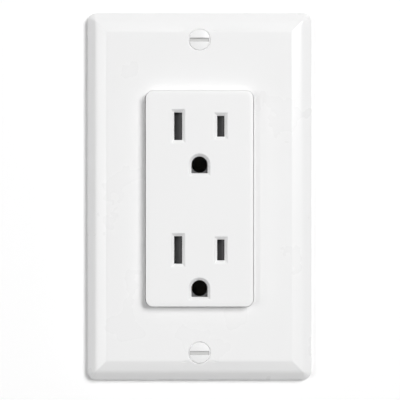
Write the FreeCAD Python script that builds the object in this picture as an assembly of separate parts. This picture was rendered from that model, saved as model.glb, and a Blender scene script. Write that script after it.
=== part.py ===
import FreeCAD, Part

import math
import os

# Duplex wall outlet: a decorator receptacle under its screwed wall plate.
# Frame: origin at the centre of the plate in the plane of the wall, +Y into the wall,
# +Z up, +X to the right of someone who faces the outlet. All lengths in millimetres.

# Wall plate: a hollow moulding with a two-slope border
plate_width = 69.85
plate_depth = 5.5
plate_end = 8.73
plate_skin = 2.0
plate_corner = 2.8
bevel_width = 6.2
knee_inset = 2.8
knee_drop = 1.15
rim_height = 2.1
rim_wall = 1.6
pocket_knee = 1.2
crease_round = 3.0
knee_round = 5.0
rim_round = 0.6
window_gap = 0.15
rib_thickness = 1.2
rib_gap = 0.3
side_rib_inset = 12.9

# Plate screws: number 6 oval heads with a slot that stops short of the rim
plate_screw_step = 6.75
number_6_radius = 1.75
tapped_clearance = 0.05
plate_screw_head = 3.42
countersink_gap = 0.14
plate_screw_dome = 0.6
plate_screw_length = 12.7
driver_slot_length = 5.96
driver_slot_width = 1.2
driver_slot_depth = 1.0
screw_point = 0.8

# Receptacle face: a raised nose on a flat base
nose_width = 33.1
nose_end = 10.88
nose_corner = 2.3
nose_proud = 3.0
nose_edge = 0.9
nose_skin = 2.4
nose_wall = 1.7
least_round = 0.3
base_thickness = 1.6
base_margin = 1.45
base_end_margin = 2.3
base_corner = 2.0
guide_wall = 1.1
guide_gap = 0.7

# Plug pattern of a 15 ampere grounded outlet
outlet_pitch = 38.1
blade_rise = 3.27
ground_drop = 11.87
# The device sits a little low in the plate: its middle is this far below the plate's
device_drop = 0.75
blade_pitch = 12.7
# Each slot opens a little further outwards than the blade that it takes
slot_shift = 0.22
neutral_slot_width = 2.46
neutral_slot_height = 8.5
hot_slot_width = 2.24
hot_slot_height = 6.43
ground_hole_width = 5.2
ground_hole_height = 5.2
slot_lead = 0.95
ground_lead = 0.85

# Shutters: a spring-loaded slider in a carrier behind each pair of blade slots
shutter_travel = 3.2
shutter_thickness = 1.8
shutter_gap = 0.15
shutter_height = 10.4
shutter_side_gap = 0.1
shutter_window_gap = 0.25
shutter_ramp_length = 2.6
shutter_ramp_depth = 1.3
carrier_wall = 0.7
carrier_end_wall = 0.8
carrier_floor = 0.8
carrier_fit = 0.1
carrier_window_gap = 0.4
spring_wire = 0.19
spring_radius = 0.73
spring_turns = 5
spring_rest_length = 5.45
spring_peg = 0.42
spring_peg_length = 1.1
ledge_reach = 0.6
ledge_height = 6.0
ledge_thickness = 0.6
ledge_gap = 0.05

# Mounting strap: one steel strip with ears at both ends
strap_thickness = 1.25
strap_wall_gap = 0.05
strap_tail = 4.78
strap_spine_width = 5.2
strap_end_width = 20.0
neck_overlap = 4.5
ear_width = 29.0
ear_height = 9.8
ear_corner = 4.0
ear_score_width = 0.8
ear_score_length = 5.6
ear_score_offset = 8.8
neck_corner = 1.0
mount_slot_gap = 6.17
mount_slot_length = 7.0
mount_slot_width = 4.2
ground_ring = 5.0
ground_ring_hole = 2.85

# Ground contacts and their rivets
ground_leaf = 0.7
ground_leaf_width = 5.0
ground_leaf_length = 11.7
ground_throat_depth = 8.2
ground_throat = 2.25
ground_mouth = 2.9
ground_base_width = 7.6
ground_base_height = 11.4
ground_base_thickness = 0.8
rivet_offset = 4.15
rivet_radius = 0.8
rivet_head = 1.3
rivet_head_height = 0.5
rivet_pocket_gap = 0.3

# Line contact strips, hot on the right and neutral on the left
strip_thickness = 0.8
clip_leaf = 0.7
clip_throat = 0.55
clip_heel = 1.1
clip_mouth = 1.5
clip_gap = 0.6
clip_throat_y = 1.0
clip_floor_y = 9.4
hot_clip_width = 6.8
neutral_clip_width = 8.0
terminal_cover = 5.4
terminal_front_y = 1.6
terminal_width = 9.6
bridge_height = 4.4
bridge_front_y = 4.6
bridge_depth = 3.6
bridge_hole_width = 1.2
bridge_hole_height = 2.0
rail_depth = 3.8

# Terminals: number 8 screws, each in a clamp plate
terminal_spacing = 19.0
terminal_axis_y = 6.4
number_8_radius = 2.08
clamp_size = 9.4
clamp_depth = 9.0
clamp_thickness = 1.3
clamp_gap = 0.05
clamp_hole_clearance = 0.22
clamp_groove = 1.05
wire_offset = 3.1
terminal_head = 4.0
terminal_head_height = 2.0
terminal_head_edge = 0.5
terminal_shank = 5.2
terminal_slot_width = 1.1
terminal_slot_depth = 0.9

# Ground terminal on the side tab of the strap
ground_tab_gap_z = 2.4
ground_tab_width = 6.8
ground_tab_length = 12.2
ground_tab_gap = 0.3
ground_clamp_size = 6.8
ground_head = 3.9
ground_bend = 1.6

# Back body: a dark moulding behind the face
body_depth = 23.5
body_step = 1.0
body_corner = 2.0
body_back_edge = 1.2
channel_gap = 0.2
clip_pocket_inner = 3.9
clip_pocket_gap = 1.6
pocket_floor_gap = 1.3
screw_room = 3.6
chamber_gap = 0.6
strip_slot_gap = 0.3
ground_pocket_width = 8.4
ground_pocket_gap = 0.3
ground_pocket_depth = 15.0
wire_hole = 1.5
wire_funnel = 2.1
wire_funnel_depth = 0.9
tab_window_height = 4.4
tab_window_depth = 9.0
relief_size = 5.6
relief_depth = 3.4
wire_ring = 2.8
wire_ring_height = 0.4
panel_width = 16.0
panel_height = 46.0
panel_corner = 1.5
panel_depth = 0.5

# Assembly screws
assembly_side_inset = 4.0
assembly_end_inset = 4.7
assembly_radius = 1.25
assembly_hole = 1.5
assembly_pilot_clearance = 0.03
assembly_boss = 2.2
assembly_head = 2.4
assembly_head_height = 1.5
assembly_head_gap = 0.2
assembly_recess = 1.9
assembly_reach = 3.6
assembly_cross_length = 3.1
assembly_cross_width = 0.8
assembly_cross_depth = 0.9

# Mounting screws with their retaining washers
mounting_head = 3.7
mounting_head_height = 1.8
mounting_head_edge = 0.7
mounting_neck = 1.4
mounting_neck_end = 1.7
mounting_length = 24.0
washer_size = 9.0
washer_thickness = 0.8
washer_gap = 0.05
washer_corner = 1.0

# Heights that several pieces share, along Y
plate_front = -plate_depth
plate_back = plate_front + plate_skin
strap_back = -strap_wall_gap
strap_front = strap_back - strap_thickness
nose_front = plate_front - nose_proud
nose_back = nose_front + nose_skin
base_front = strap_front - base_thickness
shutter_front = nose_back + shutter_gap
shutter_back = shutter_front + shutter_thickness
carrier_front = shutter_back + shutter_gap
carrier_back = carrier_front + carrier_floor
clip_front = carrier_back + clip_gap

# Shared outlines, from the plug pattern outwards
nose_height = outlet_pitch + 2 * (blade_rise + nose_end)
window_width = nose_width + 2 * window_gap
window_height = nose_height + 2 * window_gap
base_width = nose_width + 2 * base_margin
base_height = nose_height + 2 * base_end_margin
cavity_width = nose_width - 2 * nose_wall
cavity_height = nose_height - 2 * nose_wall
carrier_width = cavity_width - 2 * carrier_fit
carrier_inner = carrier_width / 2 - carrier_end_wall
carrier_height = shutter_height + 2 * (shutter_side_gap + carrier_wall)
body_width = base_width - 2 * body_step
body_height = base_height
assembly_x = body_width / 2 - assembly_side_inset
assembly_z = body_height / 2 - assembly_end_inset
mount_slot_spacing = base_height + 2 * mount_slot_gap
plate_screw_spacing = mount_slot_spacing + 2 * plate_screw_step
strap_length = plate_screw_spacing + 2 * strap_tail
strap_end_start = base_height / 2 - neck_overlap
plate_height = plate_screw_spacing + 2 * plate_end

# Centres of the plug openings
blade_levels = {
    "upper": outlet_pitch / 2 + blade_rise,
    "lower": -outlet_pitch / 2 + blade_rise,
}
ground_levels = {
    "upper": outlet_pitch / 2 + blade_rise - ground_drop,
    "lower": -outlet_pitch / 2 + blade_rise - ground_drop,
}
terminal_levels = {"upper": terminal_spacing / 2, "lower": -terminal_spacing / 2}
slots = {
    "neutral": (-blade_pitch / 2 - slot_shift, neutral_slot_width, neutral_slot_height),
    "hot": (blade_pitch / 2 + slot_shift, hot_slot_width, hot_slot_height),
}

# Places of the terminals, outwards from the middle
terminal_inset = body_width / 2 - terminal_cover
chamber_inset = terminal_inset - screw_room
terminal_face = terminal_inset + strip_thickness
clamp_inner = terminal_face + clamp_gap
head_inner = clamp_inner + clamp_thickness + clamp_gap
strip_back = clip_floor_y + strip_thickness
chamber_back = terminal_axis_y + clamp_depth / 2 + chamber_gap
wire_x = terminal_face + clamp_groove
tab_inner = body_width / 2 + ground_tab_gap
tab_outer = tab_inner + strap_thickness
ground_tab_low = ground_tab_gap_z - assembly_z
ground_terminal_z = ground_tab_low + ground_tab_width / 2

# A cut runs this far past the face that it opens, and places this close are the same place
past = 1.0
close = 1e-4


def box(x0, x1, y0, y1, z0, z1):
    return Part.makeBox(x1 - x0, y1 - y0, z1 - z0, FreeCAD.Vector(x0, y0, z0))


def block(x, z, width, height, y0, y1):
    return box(x - width / 2, x + width / 2, y0, y1, z - height / 2, z + height / 2)


def pillar(x, z, radius, y0, y1):
    return Part.makeCylinder(radius, y1 - y0, FreeCAD.Vector(x, y0, z), FreeCAD.Vector(0, 1, 0))


def taper(x, z, radius0, radius1, y0, y1):
    place = FreeCAD.Vector(x, y0, z)
    return Part.makeCone(radius0, radius1, y1 - y0, place, FreeCAD.Vector(0, 1, 0))


def fuse_all(shapes):
    joined = shapes[0]
    for shape in shapes[1:]:
        joined = joined.fuse(shape)
    return joined.removeSplitter()


def cut_all(shape, tools):
    for tool in tools:
        shape = shape.cut(tool)
    return shape


def outline(x, z, width, height, corner, y):
    """A rectangle with round corners, in the plane at depth y."""
    left, right = x - width / 2, x + width / 2
    low, high = z - height / 2, z + height / 2
    diagonal = corner * (1 - math.sqrt(0.5))
    turns = [(right, low, -1, 1), (right, high, -1, -1), (left, high, 1, -1), (left, low, 1, 1)]
    edges = []
    last = FreeCAD.Vector(left + corner, y, low)
    for count, (cx, cz, inx, inz) in enumerate(turns):
        along_x = FreeCAD.Vector(cx + inx * corner, y, cz)
        along_z = FreeCAD.Vector(cx, y, cz + inz * corner)
        middle = FreeCAD.Vector(cx + inx * diagonal, y, cz + inz * diagonal)
        start, end = (along_x, along_z) if count % 2 == 0 else (along_z, along_x)
        edges.append(Part.LineSegment(last, start).toShape())
        edges.append(Part.Arc(start, middle, end).toShape())
        last = end
    return Part.Wire(edges)


def slab(x, z, width, height, corner, y0, y1):
    face = Part.Face(outline(x, z, width, height, corner, y0))
    return face.extrude(FreeCAD.Vector(0, y1 - y0, 0))


def prism(points, plane, start, length):
    """A polygon pushed along the axis that its plane leaves out."""
    axes = {"xy": (0, 1, 2), "yz": (1, 2, 0), "xz": (0, 2, 1)}[plane]
    corners = []
    for first, second in points:
        place = [0.0, 0.0, 0.0]
        place[axes[0]] = first
        place[axes[1]] = second
        place[axes[2]] = start
        corners.append(FreeCAD.Vector(*place))
    push = [0.0, 0.0, 0.0]
    push[axes[2]] = length
    face = Part.Face(Part.makePolygon(corners + corners[:1]))
    return face.extrude(FreeCAD.Vector(*push))


def edges_at(shape, y):
    """The edges that lie wholly at depth y."""
    return [e for e in shape.Edges if abs(e.BoundBox.YMin - y) < close and e.BoundBox.YLength < close]


def mirrored(shape):
    return shape.mirror(FreeCAD.Vector(0, 0, 0), FreeCAD.Vector(1, 0, 0))


def ground_outline(z, grow, y):
    """The ground hole: an arch above a flat bottom, grown outwards by a lead."""
    half = ground_hole_width / 2 + grow
    low = z - ground_hole_height / 2 - grow
    spring_line = z + ground_hole_height / 2 - ground_hole_width / 2
    left, right = FreeCAD.Vector(-half, y, spring_line), FreeCAD.Vector(half, y, spring_line)
    crown = FreeCAD.Vector(0, y, spring_line + half)
    low_left, low_right = FreeCAD.Vector(-half, y, low), FreeCAD.Vector(half, y, low)
    return Part.Wire(
        [
            Part.LineSegment(low_left, low_right).toShape(),
            Part.LineSegment(low_right, right).toShape(),
            Part.Arc(right, crown, left).toShape(),
            Part.LineSegment(left, low_left).toShape(),
        ]
    )


def rectangle(x, z, width, height, y):
    half_w, half_h = width / 2, height / 2
    corners = [(-half_w, -half_h), (half_w, -half_h), (half_w, half_h), (-half_w, half_h)]
    points = [FreeCAD.Vector(x + dx, y, z + dz) for dx, dz in corners]
    return Part.makePolygon(points + points[:1])


def border_bar(span, length, plane):
    """The plate's border profile across one direction, pushed along the other."""
    half = span / 2
    knee_y = plate_front + knee_drop
    side = [(half, 0), (half, -rim_height), (half - knee_inset, knee_y), (half - bevel_width, plate_front)]
    profile = [(-u, y) for u, y in side] + list(reversed(side))
    if plane == "yz":
        profile = [(y, u) for u, y in profile]
    bar = prism(profile, plane, -length / 2, length)
    rounds = [(half, -rim_height, rim_round), (half - knee_inset, knee_y, knee_round)]
    rounds.append((half - bevel_width, plate_front, crease_round))
    for across, y, radius in rounds:
        chosen = []
        for edge in bar.Edges:
            middle = edge.CenterOfMass
            u = middle.x if plane == "xy" else middle.z
            if edge.Length > length - past and abs(abs(u) - across) < close and abs(middle.y - y) < close:
                chosen.append(edge)
        bar = bar.makeFillet(radius, chosen)
    return bar


def pocket_bar(span, length, plane):
    """The hollow behind the plate across one direction, pushed along the other."""
    half = span / 2
    side = [(half - rim_wall, past), (half - rim_wall, -pocket_knee), (half - bevel_width, plate_back)]
    profile = [(-u, y) for u, y in side] + list(reversed(side))
    if plane == "yz":
        profile = [(y, u) for u, y in profile]
    return prism(profile, plane, -length / 2, length)


def plate_blank():
    """The plate without its window: border, hollow back and the two countersunk holes."""
    across = border_bar(plate_width, plate_height + 2 * past, "xy")
    upright = border_bar(plate_height, plate_width + 2 * past, "yz")
    rounded = slab(0, 0, plate_width, plate_height, plate_corner, plate_front - past, 0)
    plate = across.common(upright).common(rounded)
    hollow = pocket_bar(plate_width, plate_height, "xy").common(pocket_bar(plate_height, plate_width, "yz"))
    plate = plate.cut(hollow)
    for side in (-1, 1):
        z = side * plate_screw_spacing / 2
        top = plate_screw_head + countersink_gap
        plate = plate.cut(taper(0, z, top, number_6_radius + countersink_gap, plate_front, plate_back))
        plate = plate.cut(pillar(0, z, top, plate_front - past, plate_front))
    return plate


def wall_plate():
    plate = plate_blank()
    plate.translate(FreeCAD.Vector(0, 0, device_drop))
    plate = plate.cut(
        slab(0, 0, window_width, window_height, nose_corner + window_gap, plate_front - past, past)
    )
    rib_end = strap_front - rib_gap
    rib_x = plate_width / 2 - side_rib_inset
    head_edge = mount_slot_spacing / 2 - mounting_head
    rib_levels = [side * (base_height / 2 + head_edge + side * device_drop) / 2 for side in (-1, 1)]
    for z in rib_levels:
        plate = plate.fuse(block(0, z, 2 * rib_x, rib_thickness, plate_back, rib_end))
    for side in (-1, 1):
        x = side * rib_x
        half = rib_thickness / 2
        plate = plate.fuse(box(x - half, x + half, plate_back, rib_end, rib_levels[0], rib_levels[1]))
    return plate.removeSplitter()


def rounded_slot(x, z, length, width, y0, y1):
    ends = (length - width) / 2
    middle = block(x, z, 2 * ends, width, y0, y1)
    return fuse_all([middle, pillar(x - ends, z, width / 2, y0, y1), pillar(x + ends, z, width / 2, y0, y1)])


def dome(x, z, radius, height, y):
    """A cap of a sphere that stands forward (towards -Y) from depth y."""
    ball_radius = (radius**2 + height**2) / (2 * height)
    centre = FreeCAD.Vector(x, y - height + ball_radius, z)
    ball = Part.makeSphere(ball_radius, centre)
    return ball.common(pillar(x, z, radius, y - height - past, y))


def plate_screw(z):
    end = plate_front + plate_screw_length
    screw = fuse_all(
        [
            dome(0, z, plate_screw_head, plate_screw_dome, plate_front),
            taper(0, z, plate_screw_head, number_6_radius, plate_front, plate_back),
            pillar(0, z, number_6_radius, plate_back, end - screw_point),
            taper(0, z, number_6_radius, number_6_radius - screw_point, end - screw_point, end),
        ]
    )
    top = plate_front - plate_screw_dome
    return screw.cut(
        rounded_slot(0, z, driver_slot_length, driver_slot_width, top - past, top + driver_slot_depth)
    )


def blade_opening(x, z, width, height):
    """One blade slot through the nose, with sloped lead-ins at its mouth."""
    straight = block(x, z, width, height, nose_front - past, nose_back + past)
    wide = rectangle(x, z, width + 2 * slot_lead, height + 2 * slot_lead, nose_front)
    narrow = rectangle(x, z, width, height, nose_front + slot_lead)
    return straight.fuse(Part.makeLoft([wide, narrow], True, True))


def ground_opening(z, end):
    straight = Part.Face(ground_outline(z, 0, nose_front - past))
    straight = straight.extrude(FreeCAD.Vector(0, end - nose_front + past, 0))
    wide = ground_outline(z, ground_lead, nose_front)
    narrow = ground_outline(z, 0, nose_front + ground_lead)
    return straight.fuse(Part.makeLoft([wide, narrow], True, True))


def carrier_ledges(z):
    """Two small hooks on the nose's side walls that hold a shutter carrier in."""
    start = carrier_back + ledge_gap
    reach = cavity_width / 2 - ledge_reach
    hook = box(reach, cavity_width / 2 + nose_wall / 2, start, start + ledge_thickness, 0, ledge_height)
    hook.translate(FreeCAD.Vector(0, 0, z - ledge_height / 2))
    return [hook, mirrored(hook)]


def receptacle_face():
    nose = slab(0, 0, nose_width, nose_height, nose_corner, nose_front, base_front)
    nose = nose.makeFillet(nose_edge, edges_at(nose, nose_front))
    face = nose.fuse(slab(0, 0, base_width, base_height, base_corner, base_front, strap_front))
    inner_corner = max(nose_corner - nose_wall, least_round)
    face = face.cut(slab(0, 0, cavity_width, cavity_height, inner_corner, nose_back, strap_front + past))
    guide_end = strap_front - guide_gap
    guide_width = ground_hole_width + 2 * guide_wall
    guide_height = ground_hole_height + 2 * guide_wall
    for level in ("upper", "lower"):
        ground_z = ground_levels[level]
        face = face.fuse(block(0, ground_z, guide_width, guide_height, nose_back, guide_end))
        for ledge in carrier_ledges(blade_levels[level]):
            face = face.fuse(ledge)
    pocket = rivet_head + rivet_pocket_gap
    pocket_front = strap_front - rivet_head_height - rivet_pocket_gap
    pilots = [pillar(0, z, pocket, pocket_front, strap_front + past) for z in rivet_places()]
    bosses = []
    for sx in (-1, 1):
        for sz in (-1, 1):
            x, z = sx * assembly_x, sz * assembly_z
            bosses.append(pillar(x, z, assembly_boss, nose_back, strap_front))
            radius = assembly_radius + assembly_pilot_clearance
            pilots.append(pillar(x, z, radius, strap_front - assembly_reach - past, strap_front + past))
    face = fuse_all([face] + bosses)
    face = cut_all(face, pilots)
    for level in ("upper", "lower"):
        face = face.cut(ground_opening(ground_levels[level], guide_end + past))
        for x, width, height in slots.values():
            face = face.cut(blade_opening(x, blade_levels[level], width, height))
    return face.removeSplitter()


def shutter_slider(z):
    """The slider at rest: its windows stand to the left of the slots by its travel."""
    left = -carrier_inner + shutter_gap
    right = carrier_inner - spring_rest_length
    slider = box(left, right, shutter_front, shutter_back, z - shutter_height / 2, z + shutter_height / 2)
    for x, width, height in slots.values():
        middle = x - shutter_travel
        half = width / 2 + shutter_window_gap
        tall = height / 2 + shutter_window_gap
        window = block(middle, z, 2 * half, 2 * tall, shutter_front - past, shutter_back + past)
        edge = middle + half
        wedge = [
            (edge - shutter_gap, shutter_front),
            (edge + shutter_ramp_length, shutter_front),
            (edge - shutter_gap, shutter_front + shutter_ramp_depth),
        ]
        slider = slider.cut(window)
        slider = slider.cut(prism(wedge, "xy", z - tall, 2 * tall))
    middle_y = (nose_back + carrier_front) / 2
    start = FreeCAD.Vector(right - past, middle_y, z)
    peg = Part.makeCylinder(spring_peg, spring_peg_length + past, start, FreeCAD.Vector(1, 0, 0))
    return slider.fuse(peg).removeSplitter()


def shutter_carrier(z):
    carrier = block(0, z, carrier_width, carrier_height, nose_back, carrier_back)
    inner_height = shutter_height + 2 * shutter_side_gap
    carrier = carrier.cut(block(0, z, 2 * carrier_inner, inner_height, nose_back - past, carrier_front))
    for x, width, height in slots.values():
        wide, tall = width + 2 * carrier_window_gap, height + 2 * carrier_window_gap
        carrier = carrier.cut(block(x, z, wide, tall, carrier_front - past, carrier_back + past))
    return carrier


def shutter_spring(z):
    start = carrier_inner - spring_rest_length + spring_wire
    length = spring_rest_length - 2 * spring_wire
    middle_y = (nose_back + carrier_front) / 2
    helix = Part.makeHelix(length / spring_turns, length, spring_radius)
    ring = Part.Wire(
        Part.makeCircle(spring_wire, FreeCAD.Vector(spring_radius, 0, 0), FreeCAD.Vector(0, 1, 0))
    )
    coil = Part.Wire(helix).makePipeShell([ring], True, True)
    coil.rotate(FreeCAD.Vector(0, 0, 0), FreeCAD.Vector(0, 1, 0), 90)
    coil.translate(FreeCAD.Vector(start, middle_y, z))
    return coil


def strap_end(side):
    """One end of the strap: the neck, the ear and its holes, for side 1 (up) or -1 (down)."""
    shift = side * device_drop
    end = strap_length / 2 + shift
    neck_middle = (strap_end_start + end) / 2
    neck = slab(0, neck_middle, strap_end_width, end - strap_end_start, neck_corner, strap_front, strap_back)
    ear = slab(0, end - ear_height / 2, ear_width, ear_height, ear_corner, strap_front, strap_back)
    shape = neck.fuse(ear)
    slot_z = mount_slot_spacing / 2 + shift
    shape = shape.cut(rounded_slot(0, slot_z, mount_slot_length, mount_slot_width, strap_front - past, past))
    tapped = number_6_radius + tapped_clearance
    tapped_z = plate_screw_spacing / 2 + shift
    shape = shape.cut(pillar(0, tapped_z, tapped, strap_front - past, past))
    for sx in (-1, 1):
        score = block(
            sx * ear_score_offset, end, ear_score_width, 2 * ear_score_length, strap_front - past, past
        )
        shape = shape.cut(score)
    if side < 0:
        shape = shape.mirror(FreeCAD.Vector(0, 0, 0), FreeCAD.Vector(0, 0, 1))
    return shape


def ground_tab():
    """The branch of the strap that turns back along the left side of the body."""
    low, high = ground_tab_low, ground_tab_low + ground_tab_width
    arm = box(-tab_outer, 0, strap_front, strap_back, low, high)
    leg = box(-tab_outer, -tab_inner, strap_front, ground_tab_length, low, high)
    tab = arm.fuse(leg).removeSplitter()
    bend = []
    for edge in tab.Edges:
        middle = edge.CenterOfMass
        corner = abs(middle.x + tab_outer) < close and abs(middle.y - strap_front) < close
        if corner and edge.Length > ground_tab_width - close:
            bend.append(edge)
    tab = tab.makeFillet(ground_bend, bend)
    hole = Part.makeCylinder(
        number_8_radius + tapped_clearance,
        strap_thickness + 2 * past,
        FreeCAD.Vector(-tab_outer - past, terminal_axis_y, ground_terminal_z),
        FreeCAD.Vector(1, 0, 0),
    )
    return tab.cut(hole)


def mounting_strap():
    spine_length = 2 * (strap_end_start + neck_corner)
    spine = block(0, 0, strap_spine_width, spine_length, strap_front, strap_back)
    rings = [pillar(0, z, ground_ring, strap_front, strap_back) for z in ground_levels.values()]
    strap = fuse_all([spine, strap_end(1), strap_end(-1), ground_tab()] + rings)
    for z in ground_levels.values():
        strap = strap.cut(pillar(0, z, ground_ring_hole, strap_front - past, past))
    return cut_all(strap, [pillar(0, z, rivet_radius, strap_front - past, past) for z in rivet_places()])


def leaf(x, side, offsets, depths, thickness, z, width):
    """A spring leaf that follows offsets from x at the given depths, outwards to one side."""
    inner = [(x + side * offset, y) for offset, y in zip(offsets, depths)]
    outer = [(x + side * (offset + thickness), y) for offset, y in zip(offsets, depths)]
    return prism(inner + list(reversed(outer)), "xy", z - width / 2, width)


def rivet_places():
    return [z + side * rivet_offset for z in ground_levels.values() for side in (-1, 1)]


def ground_contact(z):
    back = strap_back + ground_base_thickness
    base = block(0, z, ground_base_width, ground_base_height, strap_back, back)
    depths = [back - ground_base_thickness / 2, back + ground_throat_depth, back + ground_leaf_length]
    offsets = [ground_mouth, ground_throat, ground_mouth]
    leaves = [leaf(0, s, offsets, depths, ground_leaf, z, ground_leaf_width) for s in (-1, 1)]
    contact = fuse_all([base] + leaves)
    contact = contact.cut(pillar(0, z, ground_ring_hole, strap_back - past, back + past))
    for side in (-1, 1):
        rivet_z = z + side * rivet_offset
        contact = contact.cut(pillar(0, rivet_z, rivet_radius, strap_back - past, back + past))
    return contact


def ground_rivets():
    back = strap_back + ground_base_thickness
    rivets = []
    for z in rivet_places():
        pieces = [
            pillar(0, z, rivet_radius, strap_front, back),
            pillar(0, z, rivet_head, strap_front - rivet_head_height, strap_front),
            pillar(0, z, rivet_head, back, back + rivet_head_height),
        ]
        rivets.append(fuse_all(pieces))
    return Part.makeCompound(rivets)


def blade_clip(z, width):
    """Two leaves that grip a blade, and the arm that carries them to the strip."""
    x = blade_pitch / 2
    depths = [clip_front, clip_throat_y, clip_floor_y]
    offsets = [clip_mouth, clip_throat, clip_heel]
    floor_half = clip_heel + clip_leaf
    pieces = [leaf(x, s, offsets, depths, clip_leaf, z, width) for s in (-1, 1)]
    pieces.append(block(x, z, 2 * floor_half, width, clip_floor_y, strip_back))
    arm = box(x, terminal_face, clip_floor_y, strip_back, z - hot_clip_width / 2, z + hot_clip_width / 2)
    return fuse_all(pieces + [arm])


def contact_strip(clip_width):
    """The strip on the hot side; the neutral one is its mirror image with wider clips."""
    half_clip = hot_clip_width / 2
    low, high = blade_levels["lower"] - half_clip, blade_levels["upper"] + half_clip
    wall = box(terminal_inset, terminal_face, terminal_front_y, strip_back, low, high)
    half_bridge = bridge_height / 2
    front_gap = box(0, body_width, 0, bridge_front_y, -half_bridge, half_bridge)
    back_gap = box(0, body_width, bridge_front_y + bridge_depth, body_depth, -half_bridge, half_bridge)
    wall = wall.cut(front_gap).cut(back_gap)
    half_width, half_height = bridge_hole_width / 2, bridge_hole_height / 2
    hole_y = bridge_front_y + bridge_depth / 2
    window = box(0, body_width, hole_y - half_width, hole_y + half_width, -half_height, half_height)
    wall = wall.cut(window)
    for level, z in blade_levels.items():
        terminal_edge = abs(terminal_levels[level]) + terminal_width / 2
        rail_front = strip_back - rail_depth
        beyond = box(0, body_width, -past, rail_front, terminal_edge, abs(z) + clip_width)
        if z < 0:
            beyond = beyond.mirror(FreeCAD.Vector(0, 0, 0), FreeCAD.Vector(0, 0, 1))
        wall = wall.cut(beyond)
    strip = fuse_all([wall] + [blade_clip(z, clip_width) for z in blade_levels.values()])
    for z in terminal_levels.values():
        hole = Part.makeCylinder(
            number_8_radius + tapped_clearance,
            strip_thickness + 2 * past,
            FreeCAD.Vector(terminal_inset - past, terminal_axis_y, z),
            FreeCAD.Vector(1, 0, 0),
        )
        strip = strip.cut(hole)
    return strip


def terminal_screw(inner, z, head_radius):
    """A side screw on the right, its head's underside at x = inner."""
    axis = FreeCAD.Vector(1, 0, 0)
    start = FreeCAD.Vector(inner - terminal_shank, terminal_axis_y, z)
    shank = Part.makeCylinder(number_8_radius, terminal_shank, start, axis)
    shank = shank.makeChamfer(terminal_head_edge, [e for e in shank.Edges if e.BoundBox.XMax < inner - past])
    seat = FreeCAD.Vector(inner, terminal_axis_y, z)
    head = Part.makeCylinder(head_radius, terminal_head_height, seat, axis)
    top = inner + terminal_head_height
    head = head.makeFillet(terminal_head_edge, [e for e in head.Edges if e.BoundBox.XMin > top - close])
    half = terminal_slot_width / 2
    near, far = terminal_axis_y - head_radius - past, terminal_axis_y + head_radius + past
    slot = box(top - terminal_slot_depth, top + past, near, far, z - half, z + half)
    return shank.fuse(head).cut(slot)


def clamp_plate(inner, z, size):
    """A plate under a side screw's head, with a groove for a wire on each side of the screw."""
    low_y, high_y = terminal_axis_y - clamp_depth / 2, terminal_axis_y + clamp_depth / 2
    plate = box(inner, inner + clamp_thickness, low_y, high_y, z - size / 2, z + size / 2)
    hole = Part.makeCylinder(
        number_8_radius + clamp_hole_clearance,
        clamp_thickness + 2 * past,
        FreeCAD.Vector(inner - past, terminal_axis_y, z),
        FreeCAD.Vector(1, 0, 0),
    )
    plate = plate.cut(hole)
    for side in (-1, 1):
        groove_x = inner - clamp_groove + clamp_thickness / 2
        groove_z = z + side * wire_offset
        plate = plate.cut(pillar(groove_x, groove_z, clamp_groove, low_y - past, high_y + past))
    return plate


def body_pockets():
    """Everything hollow on the right half of the body, open towards the face."""
    front = strap_front - past
    pocket_back = strip_back + pocket_floor_gap
    tools = []
    for z in blade_levels.values():
        half = neutral_clip_width / 2 + clip_pocket_gap
        tools.append(
            box(clip_pocket_inner, terminal_face + strip_slot_gap, front, pocket_back, z - half, z + half)
        )
    low = blade_levels["lower"] - hot_clip_width / 2 - strip_slot_gap
    high = blade_levels["upper"] + hot_clip_width / 2 + strip_slot_gap
    slot_inner, slot_outer = terminal_inset - strip_slot_gap, terminal_face + strip_slot_gap
    tools.append(box(slot_inner, slot_outer, front, pocket_back, low, high))
    for z in terminal_levels.values():
        half = clamp_size / 2 + chamber_gap
        tools.append(box(chamber_inset, body_width, front, chamber_back, z - half, z + half))
        for side in (-1, 1):
            wire_z = z + side * wire_offset
            tools.append(pillar(wire_x, wire_z, wire_hole, chamber_back - past, body_depth + past))
            mouth = body_depth + wire_ring_height
            tools.append(taper(wire_x, wire_z, wire_hole, wire_funnel, mouth - wire_funnel_depth, mouth))
    half = tab_window_height / 2
    tools.append(box(terminal_inset, body_width, terminal_front_y, tab_window_depth, -half, half))
    return tools


def strap_channel():
    """The recess in the front of the body that the strap lies in."""
    front = strap_front - past
    gap = 2 * channel_gap
    half = body_height / 2 + past
    tools = [block(0, 0, strap_spine_width + gap, 2 * half, front, strap_back)]
    for side in (-1, 1):
        start, end = sorted((side * (strap_end_start - channel_gap), side * half))
        end_half = strap_end_width / 2 + channel_gap
        tools.append(box(-end_half, end_half, front, strap_back, start, end))
    for z in ground_levels.values():
        tools.append(pillar(0, z, ground_ring + channel_gap, front, strap_back))
    low, high = ground_tab_low - channel_gap, ground_tab_low + ground_tab_width + channel_gap
    tools.append(box(-body_width, 0, front, strap_back, low, high))
    return tools


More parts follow.
